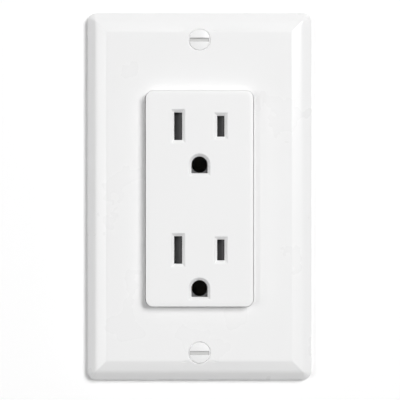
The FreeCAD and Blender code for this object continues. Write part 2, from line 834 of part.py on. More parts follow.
def back_body():
    body = slab(0, 0, body_width, body_height, body_corner, strap_front, body_depth)
    body = body.makeFillet(body_back_edge, edges_at(body, body_depth))
    for side in (-1, 1):
        for level in terminal_levels.values():
            for z in (level - wire_offset, level + wire_offset):
                ring = pillar(side * wire_x, z, wire_ring, body_depth - past, body_depth + wire_ring_height)
                body = body.fuse(ring)
    panel_floor = body_depth - panel_depth
    body = body.cut(slab(0, 0, panel_width, panel_height, panel_corner, panel_floor, body_depth + past))
    body = cut_all(body, body_pockets())
    body = cut_all(body, [mirrored(tool) for tool in body_pockets()])
    body = cut_all(body, strap_channel())
    for z in ground_levels.values():
        tall = ground_base_height + 2 * ground_pocket_gap
        body = body.cut(block(0, z, ground_pocket_width, tall, -past, ground_pocket_depth))
    for sx in (-1, 1):
        for sz in (-1, 1):
            x, z = sx * assembly_x, sz * assembly_z
            body = body.cut(pillar(x, z, assembly_hole, strap_front - past, body_depth + past))
            recess = assembly_head + assembly_head_gap
            body = body.cut(pillar(x, z, recess, body_depth - assembly_recess, body_depth + past))
    half = relief_size / 2
    outer = -body_width / 2
    relief = box(
        outer - past,
        outer + relief_depth,
        terminal_axis_y - half,
        terminal_axis_y + half,
        ground_terminal_z - half,
        ground_terminal_z + half,
    )
    return body.cut(relief)


def assembly_screws():
    seat = body_depth - assembly_recess
    tip = strap_front - assembly_reach
    cross = (assembly_cross_length, assembly_cross_width)
    screws = []
    for sx in (-1, 1):
        for sz in (-1, 1):
            x, z = sx * assembly_x, sz * assembly_z
            top = seat + assembly_head_height
            screw = pillar(x, z, assembly_radius, tip, seat).fuse(pillar(x, z, assembly_head, seat, top))
            for width, height in (cross, reversed(cross)):
                screw = screw.cut(block(x, z, width, height, top - assembly_cross_depth, top + past))
            screws.append(screw)
    return Part.makeCompound(screws)


def mounting_screw(z):
    head_top = strap_front - mounting_head_height
    head = pillar(0, z, mounting_head, head_top, strap_front)
    head = head.makeFillet(mounting_head_edge, edges_at(head, head_top))
    end = strap_front + mounting_length
    screw = fuse_all(
        [
            head,
            pillar(0, z, mounting_neck, strap_front, mounting_neck_end),
            pillar(0, z, number_6_radius, mounting_neck_end, end - screw_point),
            taper(0, z, number_6_radius, number_6_radius - screw_point, end - screw_point, end),
        ]
    )
    reach = 2 * (mounting_head + past)
    slot = block(0, z, reach, driver_slot_width, head_top - past, head_top + driver_slot_depth)
    return screw.cut(slot)


def retaining_washer(z):
    front = strap_back + washer_gap
    washer = slab(0, z, washer_size, washer_size, washer_corner, front, front + washer_thickness)
    return washer.cut(pillar(0, z, mounting_neck + tapped_clearance, front - past, mounting_length))


def all_parts():
    """Every sub-part, built about the middle of the device."""
    parts = {
        "wall_plate": wall_plate(),
        "receptacle_face": receptacle_face(),
        "back_body": back_body(),
        "mounting_strap": mounting_strap(),
        "ground_rivets": ground_rivets(),
        "hot_contact_strip": contact_strip(hot_clip_width),
        "neutral_contact_strip": mirrored(contact_strip(neutral_clip_width)),
        "assembly_screws": assembly_screws(),
    }
    for level, side in (("upper", 1), ("lower", -1)):
        blade_z = blade_levels[level]
        slot_z = side * mount_slot_spacing / 2 + device_drop
        plate_screw_z = side * plate_screw_spacing / 2 + device_drop
        terminal_z = terminal_levels[level]
        parts["plate_screw_" + level] = plate_screw(plate_screw_z)
        parts["mounting_screw_" + level] = mounting_screw(slot_z)
        parts["retaining_washer_" + level] = retaining_washer(slot_z)
        parts["ground_contact_" + level] = ground_contact(ground_levels[level])
        parts["shutter_slider_" + level] = shutter_slider(blade_z)
        parts["shutter_carrier_" + level] = shutter_carrier(blade_z)
        parts["shutter_spring_" + level] = shutter_spring(blade_z)
        clamp = clamp_plate(clamp_inner, terminal_z, clamp_size)
        screw = terminal_screw(head_inner, terminal_z, terminal_head)
        parts["hot_clamp_plate_" + level] = clamp
        parts["hot_terminal_screw_" + level] = screw
        parts["neutral_clamp_plate_" + level] = mirrored(clamp)
        parts["neutral_terminal_screw_" + level] = mirrored(screw)
    ground_clamp_inner = tab_outer + clamp_gap
    ground_head_inner = ground_clamp_inner + clamp_thickness + clamp_gap
    parts["ground_clamp_plate"] = mirrored(
        clamp_plate(ground_clamp_inner, ground_terminal_z, ground_clamp_size)
    )
    parts["ground_terminal_screw"] = mirrored(
        terminal_screw(ground_head_inner, ground_terminal_z, ground_head)
    )
    return parts


os.makedirs("parts", exist_ok=True)
for name, shape in all_parts().items():
    # the origin is the middle of the plate
    shape.translate(FreeCAD.Vector(0, 0, -device_drop))
    shape.exportStep(os.path.join("parts", name + ".step"))
    print(name, len(shape.Solids), "valid" if shape.isValid() else "NOT VALID", round(shape.Volume, 1))
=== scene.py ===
import math

import bmesh
import bpy
from mathutils import Matrix, Vector


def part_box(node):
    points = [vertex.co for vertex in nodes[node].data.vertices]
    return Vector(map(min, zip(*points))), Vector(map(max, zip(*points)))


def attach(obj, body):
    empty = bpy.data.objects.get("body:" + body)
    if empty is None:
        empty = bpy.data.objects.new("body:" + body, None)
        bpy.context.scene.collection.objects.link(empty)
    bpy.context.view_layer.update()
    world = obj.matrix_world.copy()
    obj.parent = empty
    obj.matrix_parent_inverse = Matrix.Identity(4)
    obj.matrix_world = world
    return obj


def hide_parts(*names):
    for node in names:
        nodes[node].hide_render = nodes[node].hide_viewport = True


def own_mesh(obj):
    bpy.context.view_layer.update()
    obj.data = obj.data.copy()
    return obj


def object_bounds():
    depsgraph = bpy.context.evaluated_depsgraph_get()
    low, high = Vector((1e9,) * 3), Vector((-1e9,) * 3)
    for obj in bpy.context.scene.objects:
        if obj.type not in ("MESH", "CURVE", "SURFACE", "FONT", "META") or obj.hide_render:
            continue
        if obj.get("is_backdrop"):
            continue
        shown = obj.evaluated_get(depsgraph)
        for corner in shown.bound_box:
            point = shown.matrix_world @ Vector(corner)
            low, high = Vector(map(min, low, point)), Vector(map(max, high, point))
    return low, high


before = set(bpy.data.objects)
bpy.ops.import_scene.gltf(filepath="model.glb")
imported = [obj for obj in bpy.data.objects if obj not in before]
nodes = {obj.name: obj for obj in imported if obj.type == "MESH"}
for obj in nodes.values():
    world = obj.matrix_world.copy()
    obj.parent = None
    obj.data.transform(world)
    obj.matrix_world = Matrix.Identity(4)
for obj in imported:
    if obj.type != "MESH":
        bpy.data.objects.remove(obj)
cadLow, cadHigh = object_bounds()
mm = 0.001
hair = 0.001 * mm  # two places this close are the same place
levels = ("upper", "lower")
print("frame loaded:", len(nodes), "nodes")


# Camera: straight at the plate, a little below its middle

cameraSetup = {
    "aside": 0.16 * mm,
    "below": 1.14 * mm,
    "distance": 450 * mm,
    "fieldAtWall": 125.2 * mm,
}


def makeCamera():
    data = bpy.data.cameras.new("frontCamera")
    data.sensor_width = 36.0
    data.lens = data.sensor_width * cameraSetup["distance"] / cameraSetup["fieldAtWall"]
    data.clip_start = 0.02
    data.clip_end = 10.0
    camera = bpy.data.objects.new("frontCamera", data)
    camera.location = (cameraSetup["aside"], -cameraSetup["distance"], -cameraSetup["below"])
    camera.rotation_euler = (math.pi / 2, 0, 0)
    bpy.context.scene.collection.objects.link(camera)
    bpy.context.scene.camera = camera


makeCamera()
print("camera set")


# Shader node helpers

def addNode(tree, kind, spot, **values):
    node = tree.nodes.new(kind)
    node.location = spot
    for name, value in values.items():
        setattr(node, name, value)
    return node


def newGroup(name, inputs, outputs):
    group = bpy.data.node_groups.new(name, "ShaderNodeTree")
    for label, kind, value in inputs:
        socket = group.interface.new_socket(label, in_out="INPUT", socket_type=kind)
        socket.default_value = value
    for label, kind in outputs:
        group.interface.new_socket(label, in_out="OUTPUT", socket_type=kind)
    start = addNode(group, "NodeGroupInput", (-900, 0))
    end = addNode(group, "NodeGroupOutput", (600, 0))
    return group, start, end


grainValues = {"coarseShare": 0.35, "coarseScale": 0.22, "fineDetail": 3.0}


def mouldGrain():
    # fine moulded texture, with slow drifts of tone like real resin
    group, start, end = newGroup(
        "mouldGrain",
        [("Scale", "NodeSocketFloat", 900.0), ("Tone", "NodeSocketFloat", 0.02),
         ("Gloss Drift", "NodeSocketFloat", 0.05), ("Gloss", "NodeSocketFloat", 0.3),
         ("Colour", "NodeSocketColor", (0.8, 0.8, 0.8, 1))],
        [("Height", "NodeSocketFloat"), ("Colour", "NodeSocketColor"), ("Roughness", "NodeSocketFloat")])
    links = group.links
    coords = addNode(group, "ShaderNodeTexCoord", (-900, 300))
    fine = addNode(group, "ShaderNodeTexNoise", (-650, 300))
    fine.inputs["Detail"].default_value = grainValues["fineDetail"]
    coarseScale = addNode(group, "ShaderNodeMath", (-700, 60), operation="MULTIPLY")
    coarseScale.inputs[1].default_value = grainValues["coarseScale"]
    coarse = addNode(group, "ShaderNodeTexNoise", (-500, 60))
    slow = addNode(group, "ShaderNodeTexNoise", (-500, -180))
    slow.inputs["Scale"].default_value = 55.0
    slow.inputs["Detail"].default_value = 4.0
    for texture in (fine, coarse, slow):
        links.new(coords.outputs["Object"], texture.inputs["Vector"])
    links.new(start.outputs["Scale"], fine.inputs["Scale"])
    links.new(start.outputs["Scale"], coarseScale.inputs[0])
    links.new(coarseScale.outputs[0], coarse.inputs["Scale"])
    height = addNode(group, "ShaderNodeMix", (-250, 200), data_type="FLOAT")
    height.inputs[0].default_value = grainValues["coarseShare"]
    links.new(fine.outputs["Fac"], height.inputs[2])
    links.new(coarse.outputs["Fac"], height.inputs[3])
    links.new(height.outputs[0], end.inputs["Height"])
    drift = addNode(group, "ShaderNodeMath", (-250, -120), operation="SUBTRACT")
    drift.inputs[1].default_value = 0.5
    links.new(slow.outputs["Fac"], drift.inputs[0])
    tone = addNode(group, "ShaderNodeMath", (-60, -120), operation="MULTIPLY_ADD")
    tone.inputs[2].default_value = 1.0
    links.new(drift.outputs[0], tone.inputs[0])
    links.new(start.outputs["Tone"], tone.inputs[1])
    shade = addNode(group, "ShaderNodeVectorMath", (150, -60), operation="SCALE")
    links.new(start.outputs["Colour"], shade.inputs[0])
    links.new(tone.outputs[0], shade.inputs["Scale"])
    links.new(shade.outputs[0], end.inputs["Colour"])
    gloss = addNode(group, "ShaderNodeMath", (150, -260), operation="MULTIPLY_ADD")
    links.new(drift.outputs[0], gloss.inputs[0])
    links.new(start.outputs["Gloss Drift"], gloss.inputs[1])
    links.new(start.outputs["Gloss"], gloss.inputs[2])
    links.new(gloss.outputs[0], end.inputs["Roughness"])
    return group


def edgeWear():
    # where corners have rubbed: brighter or barer, broken up by noise
    group, start, end = newGroup(
        "edgeWear",
        [("Colour", "NodeSocketColor", (0.5, 0.5, 0.5, 1)),
         ("Worn Colour", "NodeSocketColor", (0.8, 0.8, 0.8, 1)),
         ("Amount", "NodeSocketFloat", 0.5), ("Breakup", "NodeSocketFloat", 600.0)],
        [("Colour", "NodeSocketColor"), ("Mask", "NodeSocketFloat")])
    links = group.links
    shape = addNode(group, "ShaderNodeNewGeometry", (-800, 200))
    edge = addNode(group, "ShaderNodeMapRange", (-600, 200))
    edge.inputs["From Min"].default_value = 0.52
    edge.inputs["From Max"].default_value = 0.60
    links.new(shape.outputs["Pointiness"], edge.inputs["Value"])
    coords = addNode(group, "ShaderNodeTexCoord", (-900, -80))
    noise = addNode(group, "ShaderNodeTexNoise", (-600, -80))
    noise.inputs["Detail"].default_value = 4.0
    links.new(coords.outputs["Object"], noise.inputs["Vector"])
    links.new(start.outputs["Breakup"], noise.inputs["Scale"])
    broken = addNode(group, "ShaderNodeMapRange", (-400, -80))
    broken.inputs["From Min"].default_value = 0.35
    broken.inputs["From Max"].default_value = 0.62
    links.new(noise.outputs["Fac"], broken.inputs["Value"])
    both = addNode(group, "ShaderNodeMath", (-200, 100), operation="MULTIPLY")
    links.new(edge.outputs["Result"], both.inputs[0])
    links.new(broken.outputs["Result"], both.inputs[1])
    mask = addNode(group, "ShaderNodeMath", (0, 100), operation="MULTIPLY")
    mask.use_clamp = True
    links.new(both.outputs[0], mask.inputs[0])
    links.new(start.outputs["Amount"], mask.inputs[1])
    mix = addNode(group, "ShaderNodeMix", (250, 100), data_type="RGBA")
    links.new(mask.outputs[0], mix.inputs[0])
    links.new(start.outputs["Colour"], mix.inputs[6])
    links.new(start.outputs["Worn Colour"], mix.inputs[7])
    links.new(mix.outputs[2], end.inputs["Colour"])
    links.new(mask.outputs[0], end.inputs["Mask"])
    return group


def metalSkin():
    # drawn or plated metal: streaks along one way, cloudy tarnish, fine pits
    group, start, end = newGroup(
        "metalSkin",
        [("Colour", "NodeSocketColor", (0.7, 0.7, 0.7, 1)),
         ("Tarnish Colour", "NodeSocketColor", (0.5, 0.45, 0.4, 1)),
         ("Tarnish", "NodeSocketFloat", 0.3), ("Streaks", "NodeSocketFloat", 0.06),
         ("Roughness", "NodeSocketFloat", 0.3), ("Stretch", "NodeSocketVector", (3.0, 3.0, 0.3))],
        [("Colour", "NodeSocketColor"), ("Roughness", "NodeSocketFloat"), ("Height", "NodeSocketFloat")])
    links = group.links
    coords = addNode(group, "ShaderNodeTexCoord", (-1000, 0))
    stretch = addNode(group, "ShaderNodeVectorMath", (-820, 160), operation="MULTIPLY")
    links.new(coords.outputs["Object"], stretch.inputs[0])
    links.new(start.outputs["Stretch"], stretch.inputs[1])
    streak = addNode(group, "ShaderNodeTexNoise", (-640, 160))
    streak.inputs["Scale"].default_value = 900.0
    streak.inputs["Detail"].default_value = 3.0
    links.new(stretch.outputs[0], streak.inputs["Vector"])
    cloud = addNode(group, "ShaderNodeTexNoise", (-640, -120))
    cloud.inputs["Scale"].default_value = 140.0
    cloud.inputs["Detail"].default_value = 5.0
    links.new(coords.outputs["Object"], cloud.inputs["Vector"])
    patch = addNode(group, "ShaderNodeMapRange", (-440, -120))
    patch.inputs["From Min"].default_value = 0.42
    patch.inputs["From Max"].default_value = 0.72
    links.new(cloud.outputs["Fac"], patch.inputs["Value"])
    amount = addNode(group, "ShaderNodeMath", (-250, -120), operation="MULTIPLY")
    links.new(patch.outputs["Result"], amount.inputs[0])
    links.new(start.outputs["Tarnish"], amount.inputs[1])
    mix = addNode(group, "ShaderNodeMix", (0, 40), data_type="RGBA")
    links.new(amount.outputs[0], mix.inputs[0])
    links.new(start.outputs["Colour"], mix.inputs[6])
    links.new(start.outputs["Tarnish Colour"], mix.inputs[7])
    links.new(mix.outputs[2], end.inputs["Colour"])
    centred = addNode(group, "ShaderNodeMath", (-420, 200), operation="SUBTRACT")
    centred.inputs[1].default_value = 0.5
    links.new(streak.outputs["Fac"], centred.inputs[0])
    rough = addNode(group, "ShaderNodeMath", (-200, 200), operation="MULTIPLY_ADD")
    links.new(centred.outputs[0], rough.inputs[0])
    links.new(start.outputs["Streaks"], rough.inputs[1])
    links.new(start.outputs["Roughness"], rough.inputs[2])
    rougher = addNode(group, "ShaderNodeMath", (0, 260), operation="MULTIPLY_ADD")
    rougher.inputs[1].default_value = 0.25
    links.new(amount.outputs[0], rougher.inputs[0])
    links.new(rough.outputs[0], rougher.inputs[2])
    links.new(rougher.outputs[0], end.inputs["Roughness"])
    links.new(streak.outputs["Fac"], end.inputs["Height"])
    return group


def settledDust():
    # a thin veil on what faces up
    group, start, end = newGroup(
        "settledDust",
        [("Colour", "NodeSocketColor", (0.5, 0.5, 0.5, 1)),
         ("Dust Colour", "NodeSocketColor", (0.55, 0.53, 0.5, 1)), ("Amount", "NodeSocketFloat", 0.15)],
        [("Colour", "NodeSocketColor"), ("Mask", "NodeSocketFloat")])
    links = group.links
    shape = addNode(group, "ShaderNodeNewGeometry", (-800, 100))
    split = addNode(group, "ShaderNodeSeparateXYZ", (-620, 100))
    links.new(shape.outputs["Normal"], split.inputs[0])
    upward = addNode(group, "ShaderNodeMapRange", (-440, 100))
    upward.inputs["From Min"].default_value = 0.3
    upward.inputs["From Max"].default_value = 1.0
    links.new(split.outputs["Z"], upward.inputs["Value"])
    coords = addNode(group, "ShaderNodeTexCoord", (-800, -140))
    noise = addNode(group, "ShaderNodeTexNoise", (-620, -140))
    noise.inputs["Scale"].default_value = 420.0
    noise.inputs["Detail"].default_value = 5.0
    links.new(coords.outputs["Object"], noise.inputs["Vector"])
    both = addNode(group, "ShaderNodeMath", (-240, 60), operation="MULTIPLY")
    links.new(upward.outputs["Result"], both.inputs[0])
    links.new(noise.outputs["Fac"], both.inputs[1])
    mask = addNode(group, "ShaderNodeMath", (-40, 60), operation="MULTIPLY")
    mask.use_clamp = True
    links.new(both.outputs[0], mask.inputs[0])
    links.new(start.outputs["Amount"], mask.inputs[1])
    mix = addNode(group, "ShaderNodeMix", (200, 60), data_type="RGBA")
    links.new(mask.outputs[0], mix.inputs[0])
    links.new(start.outputs["Colour"], mix.inputs[6])
    links.new(start.outputs["Dust Colour"], mix.inputs[7])
    links.new(mix.outputs[2], end.inputs["Colour"])
    links.new(mask.outputs[0], end.inputs["Mask"])
    return group


grainGroup = mouldGrain()
wearGroup = edgeWear()
metalGroup = metalSkin()
dustGroup = settledDust()


def placeGroup(tree, group, spot, **values):
    node = addNode(tree, "ShaderNodeGroup", spot, node_tree=group)
    for name, value in values.items():
        node.inputs[name.replace("_", " ")].default_value = value
    return node


def startMaterial(name, **shader):
    material = bpy.data.materials.new(name)
    material.use_nodes = True
    tree = material.node_tree
    principled = tree.nodes["Principled BSDF"]
    for label, value in shader.items():
        principled.inputs[label.replace("_", " ")].default_value = value
    return material, tree, principled


def addBump(tree, principled, height, strength, distance):
    bump = addNode(tree, "ShaderNodeBump", (-250, -350))
    bump.inputs["Strength"].default_value = strength
    bump.inputs["Distance"].default_value = distance
    tree.links.new(height, bump.inputs["Height"])
    tree.links.new(bump.outputs["Normal"], principled.inputs["Normal"])


def mouldedPlastic(name, colour, gloss, scale=900.0, tone=0.02, drift=0.06, bump=0.08,
                   worn=None, wear=0.0, dust=0.0, specular=0.5, coat=0.0):
    material, tree, principled = startMaterial(name, Specular_IOR_Level=specular, Coat_Weight=coat)
    grain = placeGroup(tree, grainGroup, (-900, 100), Scale=scale, Tone=tone, Gloss_Drift=drift, Gloss=gloss,
                       Colour=(*colour, 1))
    colourOut = grain.outputs["Colour"]
    if worn:
        rub = placeGroup(tree, wearGroup, (-650, 100), Worn_Colour=(*worn, 1), Amount=wear)
        tree.links.new(colourOut, rub.inputs["Colour"])
        colourOut = rub.outputs["Colour"]
    if dust:
        veil = placeGroup(tree, dustGroup, (-430, 100), Amount=dust)
        tree.links.new(colourOut, veil.inputs["Colour"])
        colourOut = veil.outputs["Colour"]
    tree.links.new(colourOut, principled.inputs["Base Color"])
    tree.links.new(grain.outputs["Roughness"], principled.inputs["Roughness"])
    addBump(tree, principled, grain.outputs["Height"], bump, 0.05 * mm)
    return material


def platedMetal(name, colour, tarnishColour, tarnish=0.3, roughness=0.3, streaks=0.1, stretch=(3.0, 3.0, 0.3),
                worn=None, wear=0.0, bump=0.12):
    material, tree, principled = startMaterial(name, Metallic=1.0)
    skin = placeGroup(tree, metalGroup, (-900, 100), Colour=(*colour, 1), Tarnish_Colour=(*tarnishColour, 1),
                      Tarnish=tarnish, Streaks=streaks, Roughness=roughness, Stretch=stretch)
    colourOut = skin.outputs["Colour"]
    if worn:
        rub = placeGroup(tree, wearGroup, (-600, 100), Worn_Colour=(*worn, 1), Amount=wear)
        tree.links.new(colourOut, rub.inputs["Colour"])
        colourOut = rub.outputs["Colour"]
    tree.links.new(colourOut, principled.inputs["Base Color"])
    tree.links.new(skin.outputs["Roughness"], principled.inputs["Roughness"])
    addBump(tree, principled, skin.outputs["Height"], bump, 0.03 * mm)
    return material


finishes = {
    "plate": mouldedPlastic("whitePlatePlastic", (0.84, 0.84, 0.84), 0.28, scale=700.0, tone=0.012,
                            bump=0.05),
    "face": mouldedPlastic("whiteFacePlastic", (0.84, 0.84, 0.84), 0.34, scale=800.0, tone=0.012, bump=0.06),
    "screwPaint": mouldedPlastic("whiteScrewPaint", (0.84, 0.84, 0.84), 0.28, scale=1600.0, tone=0.02,
                                 bump=0.12, worn=(0.62, 0.62, 0.61), wear=0.25),
    # a darker grey for the screw slots: painted shade of the slot's recess
    "paintedSlotShade": mouldedPlastic("slotPaintedShadeGrey", (0.54, 0.54, 0.535), 0.45, scale=1600.0, tone=0.08,
                                bump=0.15, worn=(0.6, 0.6, 0.6), wear=0.3),
    "shutter": mouldedPlastic("shutterAcetal", (0.045, 0.045, 0.047), 0.5, scale=1500.0, tone=0.1, bump=0.1),
    "carrier": mouldedPlastic("carrierNylon", (0.05, 0.05, 0.052), 0.55, scale=1200.0, tone=0.1, bump=0.15),
    "body": mouldedPlastic("bodyNylon", (0.095, 0.097, 0.1), 0.48, scale=1100.0, tone=0.25, drift=0.16,
                           bump=0.35, worn=(0.13, 0.13, 0.135), wear=0.6, dust=0.25),
    "fibre": mouldedPlastic("pressedFibre", (0.30, 0.19, 0.10), 0.8, scale=500.0, tone=0.5, bump=0.6,
                            specular=0.2),
    "zinc": platedMetal("zincSteel", (0.66, 0.67, 0.69), (0.50, 0.49, 0.45), tarnish=0.45, roughness=0.34,
                        streaks=0.18, worn=(0.82, 0.82, 0.83), wear=0.5),
    "brass": platedMetal("rolledBrass", (0.80, 0.58, 0.26), (0.55, 0.36, 0.14), tarnish=0.5, roughness=0.28,
                         streaks=0.15, worn=(0.92, 0.74, 0.42), wear=0.5),
    "nickel": platedMetal("nickelPlate", (0.72, 0.69, 0.63), (0.52, 0.47, 0.40), tarnish=0.35,
                          roughness=0.26, streaks=0.12, worn=(0.85, 0.83, 0.78), wear=0.4),
    "spring": platedMetal("springWire", (0.62, 0.62, 0.62), (0.4, 0.38, 0.35), tarnish=0.3,
                          roughness=0.25, streaks=0.1),
    "greenScrew": platedMetal("greenDyedScrew", (0.07, 0.36, 0.16), (0.03, 0.2, 0.09), tarnish=0.5,
                              roughness=0.34, streaks=0.12, worn=(0.45, 0.55, 0.45), wear=0.7),
}
print("materials made:", len(finishes))


# Mesh helpers

def sharpen(mesh, angle):
    for polygon in mesh.polygons:
        polygon.use_smooth = True
    mesh.set_sharp_from_angle(angle=math.radians(angle))


def makePiece(name, bm, body, finish, replaced=(), angle=35.0):
    bmesh.ops.remove_doubles(bm, verts=bm.verts, dist=hair)
    bmesh.ops.recalc_face_normals(bm, faces=bm.faces)
    mesh = bpy.data.meshes.new(name)
    bm.to_mesh(mesh)
    bm.free()
    sharpen(mesh, angle)
    mesh.materials.append(finishes[finish])
    piece = bpy.data.objects.new(name, mesh)
    bpy.context.scene.collection.objects.link(piece)
    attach(piece, body)
    if replaced:
        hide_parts(*replaced)
    return piece


def bevelEdges(bm, edges, offset, segments, affect="EDGES"):
    return bmesh.ops.bevel(bm, geom=edges, offset=offset, offset_type="OFFSET", segments=segments,
                           profile=0.5, affect=affect, clamp_overlap=False, material=-1)


def facingPlate(depth, x=0.0, z=0.0):
    # a grid or circle lies in XY: this stands it up in the plate's plane, at that depth
    return Matrix.Translation((x, depth, z)) @ Matrix.Rotation(math.pi / 2, 4, "X")


def cornerLoop(bm, spot, size, depth, corner, lowCorner=None, segments=6):
    # an open rectangular outline with round corners, in the plate's plane
    before = set(bm.edges)
    x, z = spot
    width, height = size
    placed = facingPlate(depth, x, z) @ Matrix.Diagonal((width, height, 1, 1))
    made = bmesh.ops.create_grid(bm, x_segments=1, y_segments=1, size=0.5, matrix=placed)
    low = [v for v in made["verts"] if v.co.z < z]
    high = [v for v in made["verts"] if v.co.z > z]
    for verts, radius in ((high, corner), (low, corner if lowCorner is None else lowCorner)):
        if radius:
            bevelEdges(bm, verts, radius, segments, affect="VERTICES")
    fresh = [e for e in bm.edges if e not in before]
    faces = list({f for e in fresh for f in e.link_faces})
    bmesh.ops.delete(bm, geom=faces, context="FACES_ONLY")
    return [e for e in fresh if e.is_valid]


def ringLoop(bm, spot, radius, depth, segments):
    made = bmesh.ops.create_circle(bm, segments=segments, radius=radius, matrix=facingPlate(depth, *spot))
    return list({e for v in made["verts"] for e in v.link_edges})


def bridge(bm, first, second):
    # outlines are held well apart while they are joined: in one plane the join could twist
    verts = {v for e in second for v in e.verts}
    ahead = second[0].verts[0].co.y < first[0].verts[0].co.y
    apart = -2 * mm if ahead else 2 * mm
    for vert in verts:
        vert.co.y += apart
    bmesh.ops.bridge_loops(bm, edges=first + second)
    for vert in verts:
        vert.co.y -= apart


def stack(bm, loops):
    for first, second in zip(loops, loops[1:]):
        bridge(bm, first, second)


def fillAround(bm, outer, holes):
    # one flat face region between an outline and the holes in it
    edges = outer + [e for hole in holes for e in hole]
    bmesh.ops.triangle_fill(bm, use_beauty=True, use_dissolve=False, edges=edges, normal=(0, -1, 0))


def roundedPath(points, rounds, count=6):
    # a bent line of (inset, depth) points with its corners rounded
    path = [Vector(points[0])]
    for before, here, after, radius in zip(points, points[1:], points[2:], rounds):
        corner = Vector(here)
        first = (Vector(before) - corner).normalized()
        second = (Vector(after) - corner).normalized()
        half = first.angle(second) / 2
        if not radius:
            path.append(corner)
            continue
        middle = corner + (first + second).normalized() * radius / math.sin(half)
        reach = radius / math.tan(half)
        start, end = corner + first * reach - middle, corner + second * reach - middle
        path += [middle + start.lerp(end, i / count).normalized() * radius for i in range(count + 1)]
    return path + [Vector(points[-1])]


def framed(bm, spot, size, path, corner, least=0.0, segments=8, lowCorner=None, mitred=False):
    # a rectangular band along a path of (inset, depth): its corners stay concentric, or alike when mitred
    loops = []
    for inset, depth in path:
        outline = (size[0] - 2 * inset, size[1] - 2 * inset)
        radius = corner if mitred else max(corner - inset, least)
        loops.append(cornerLoop(bm, spot, outline, depth, radius, lowCorner, segments))
    stack(bm, loops)
    return loops[0], loops[-1]


def turned(bm, spot, path, segments=64):
    # a round band that follows a path of (radius, depth)
    loops = [ringLoop(bm, spot, radius, depth, segments) for radius, depth in path]
    stack(bm, loops)
    return loops[0], loops[-1]


def sliceAt(bm, across, places):
    normal = {"x": (1, 0, 0), "y": (0, 1, 0), "z": (0, 0, 1)}[across]
    for place in places:
        spot = tuple(place * n for n in normal)
        everything = list(bm.verts) + list(bm.edges) + list(bm.faces)
        bmesh.ops.bisect_plane(bm, geom=everything, dist=hair / 10, plane_co=spot, plane_no=normal)


# Wall plate: two-slope border, window for the face, two countersunk holes

plateLow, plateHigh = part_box("wall_plate")
faceLow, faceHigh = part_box("receptacle_face")
faceMiddle = (faceLow.z + faceHigh.z) / 2
wallPlate = {
    "front": -5.5 * mm,
    "corner": 2.8 * mm,
    "leastCorner": 0.3 * mm,
    "rimHeight": 2.1 * mm,
    "kneeInset": 2.8 * mm,
    "kneeDrop": 1.15 * mm,
    "bevelWidth": 6.2 * mm,
    "borderRounds": (0.3 * mm, 0.6 * mm, 5.0 * mm, 3.0 * mm),
    "windowSize": (33.55 * mm, 66.85 * mm),
    "windowCorner": 2.45 * mm,
    "windowRound": 0.15 * mm,
    "skin": 2.0 * mm,
    "rimWall": 1.6 * mm,
    "holeRadius": 3.56 * mm,
    "holeThroat": 1.9 * mm,
    "holeRound": 0.1 * mm,
    "screwLevels": (48.42 * mm, -48.42 * mm),
    "ribSide": 22.0 * mm,
    "ribHalf": 0.6 * mm,
    "ribLevels": (-37.11 * mm, 36.36 * mm),
    "ribBack": -1.65 * mm,
    "hollowStep": 0.7 * mm,
    "hollowLead": 0.9 * mm,
    "hollowDrop": 0.8 * mm,
    "patchDepth": 1.2 * mm,
    "land": 0.4 * mm,
    "patchHalf": 5.4 * mm,
}


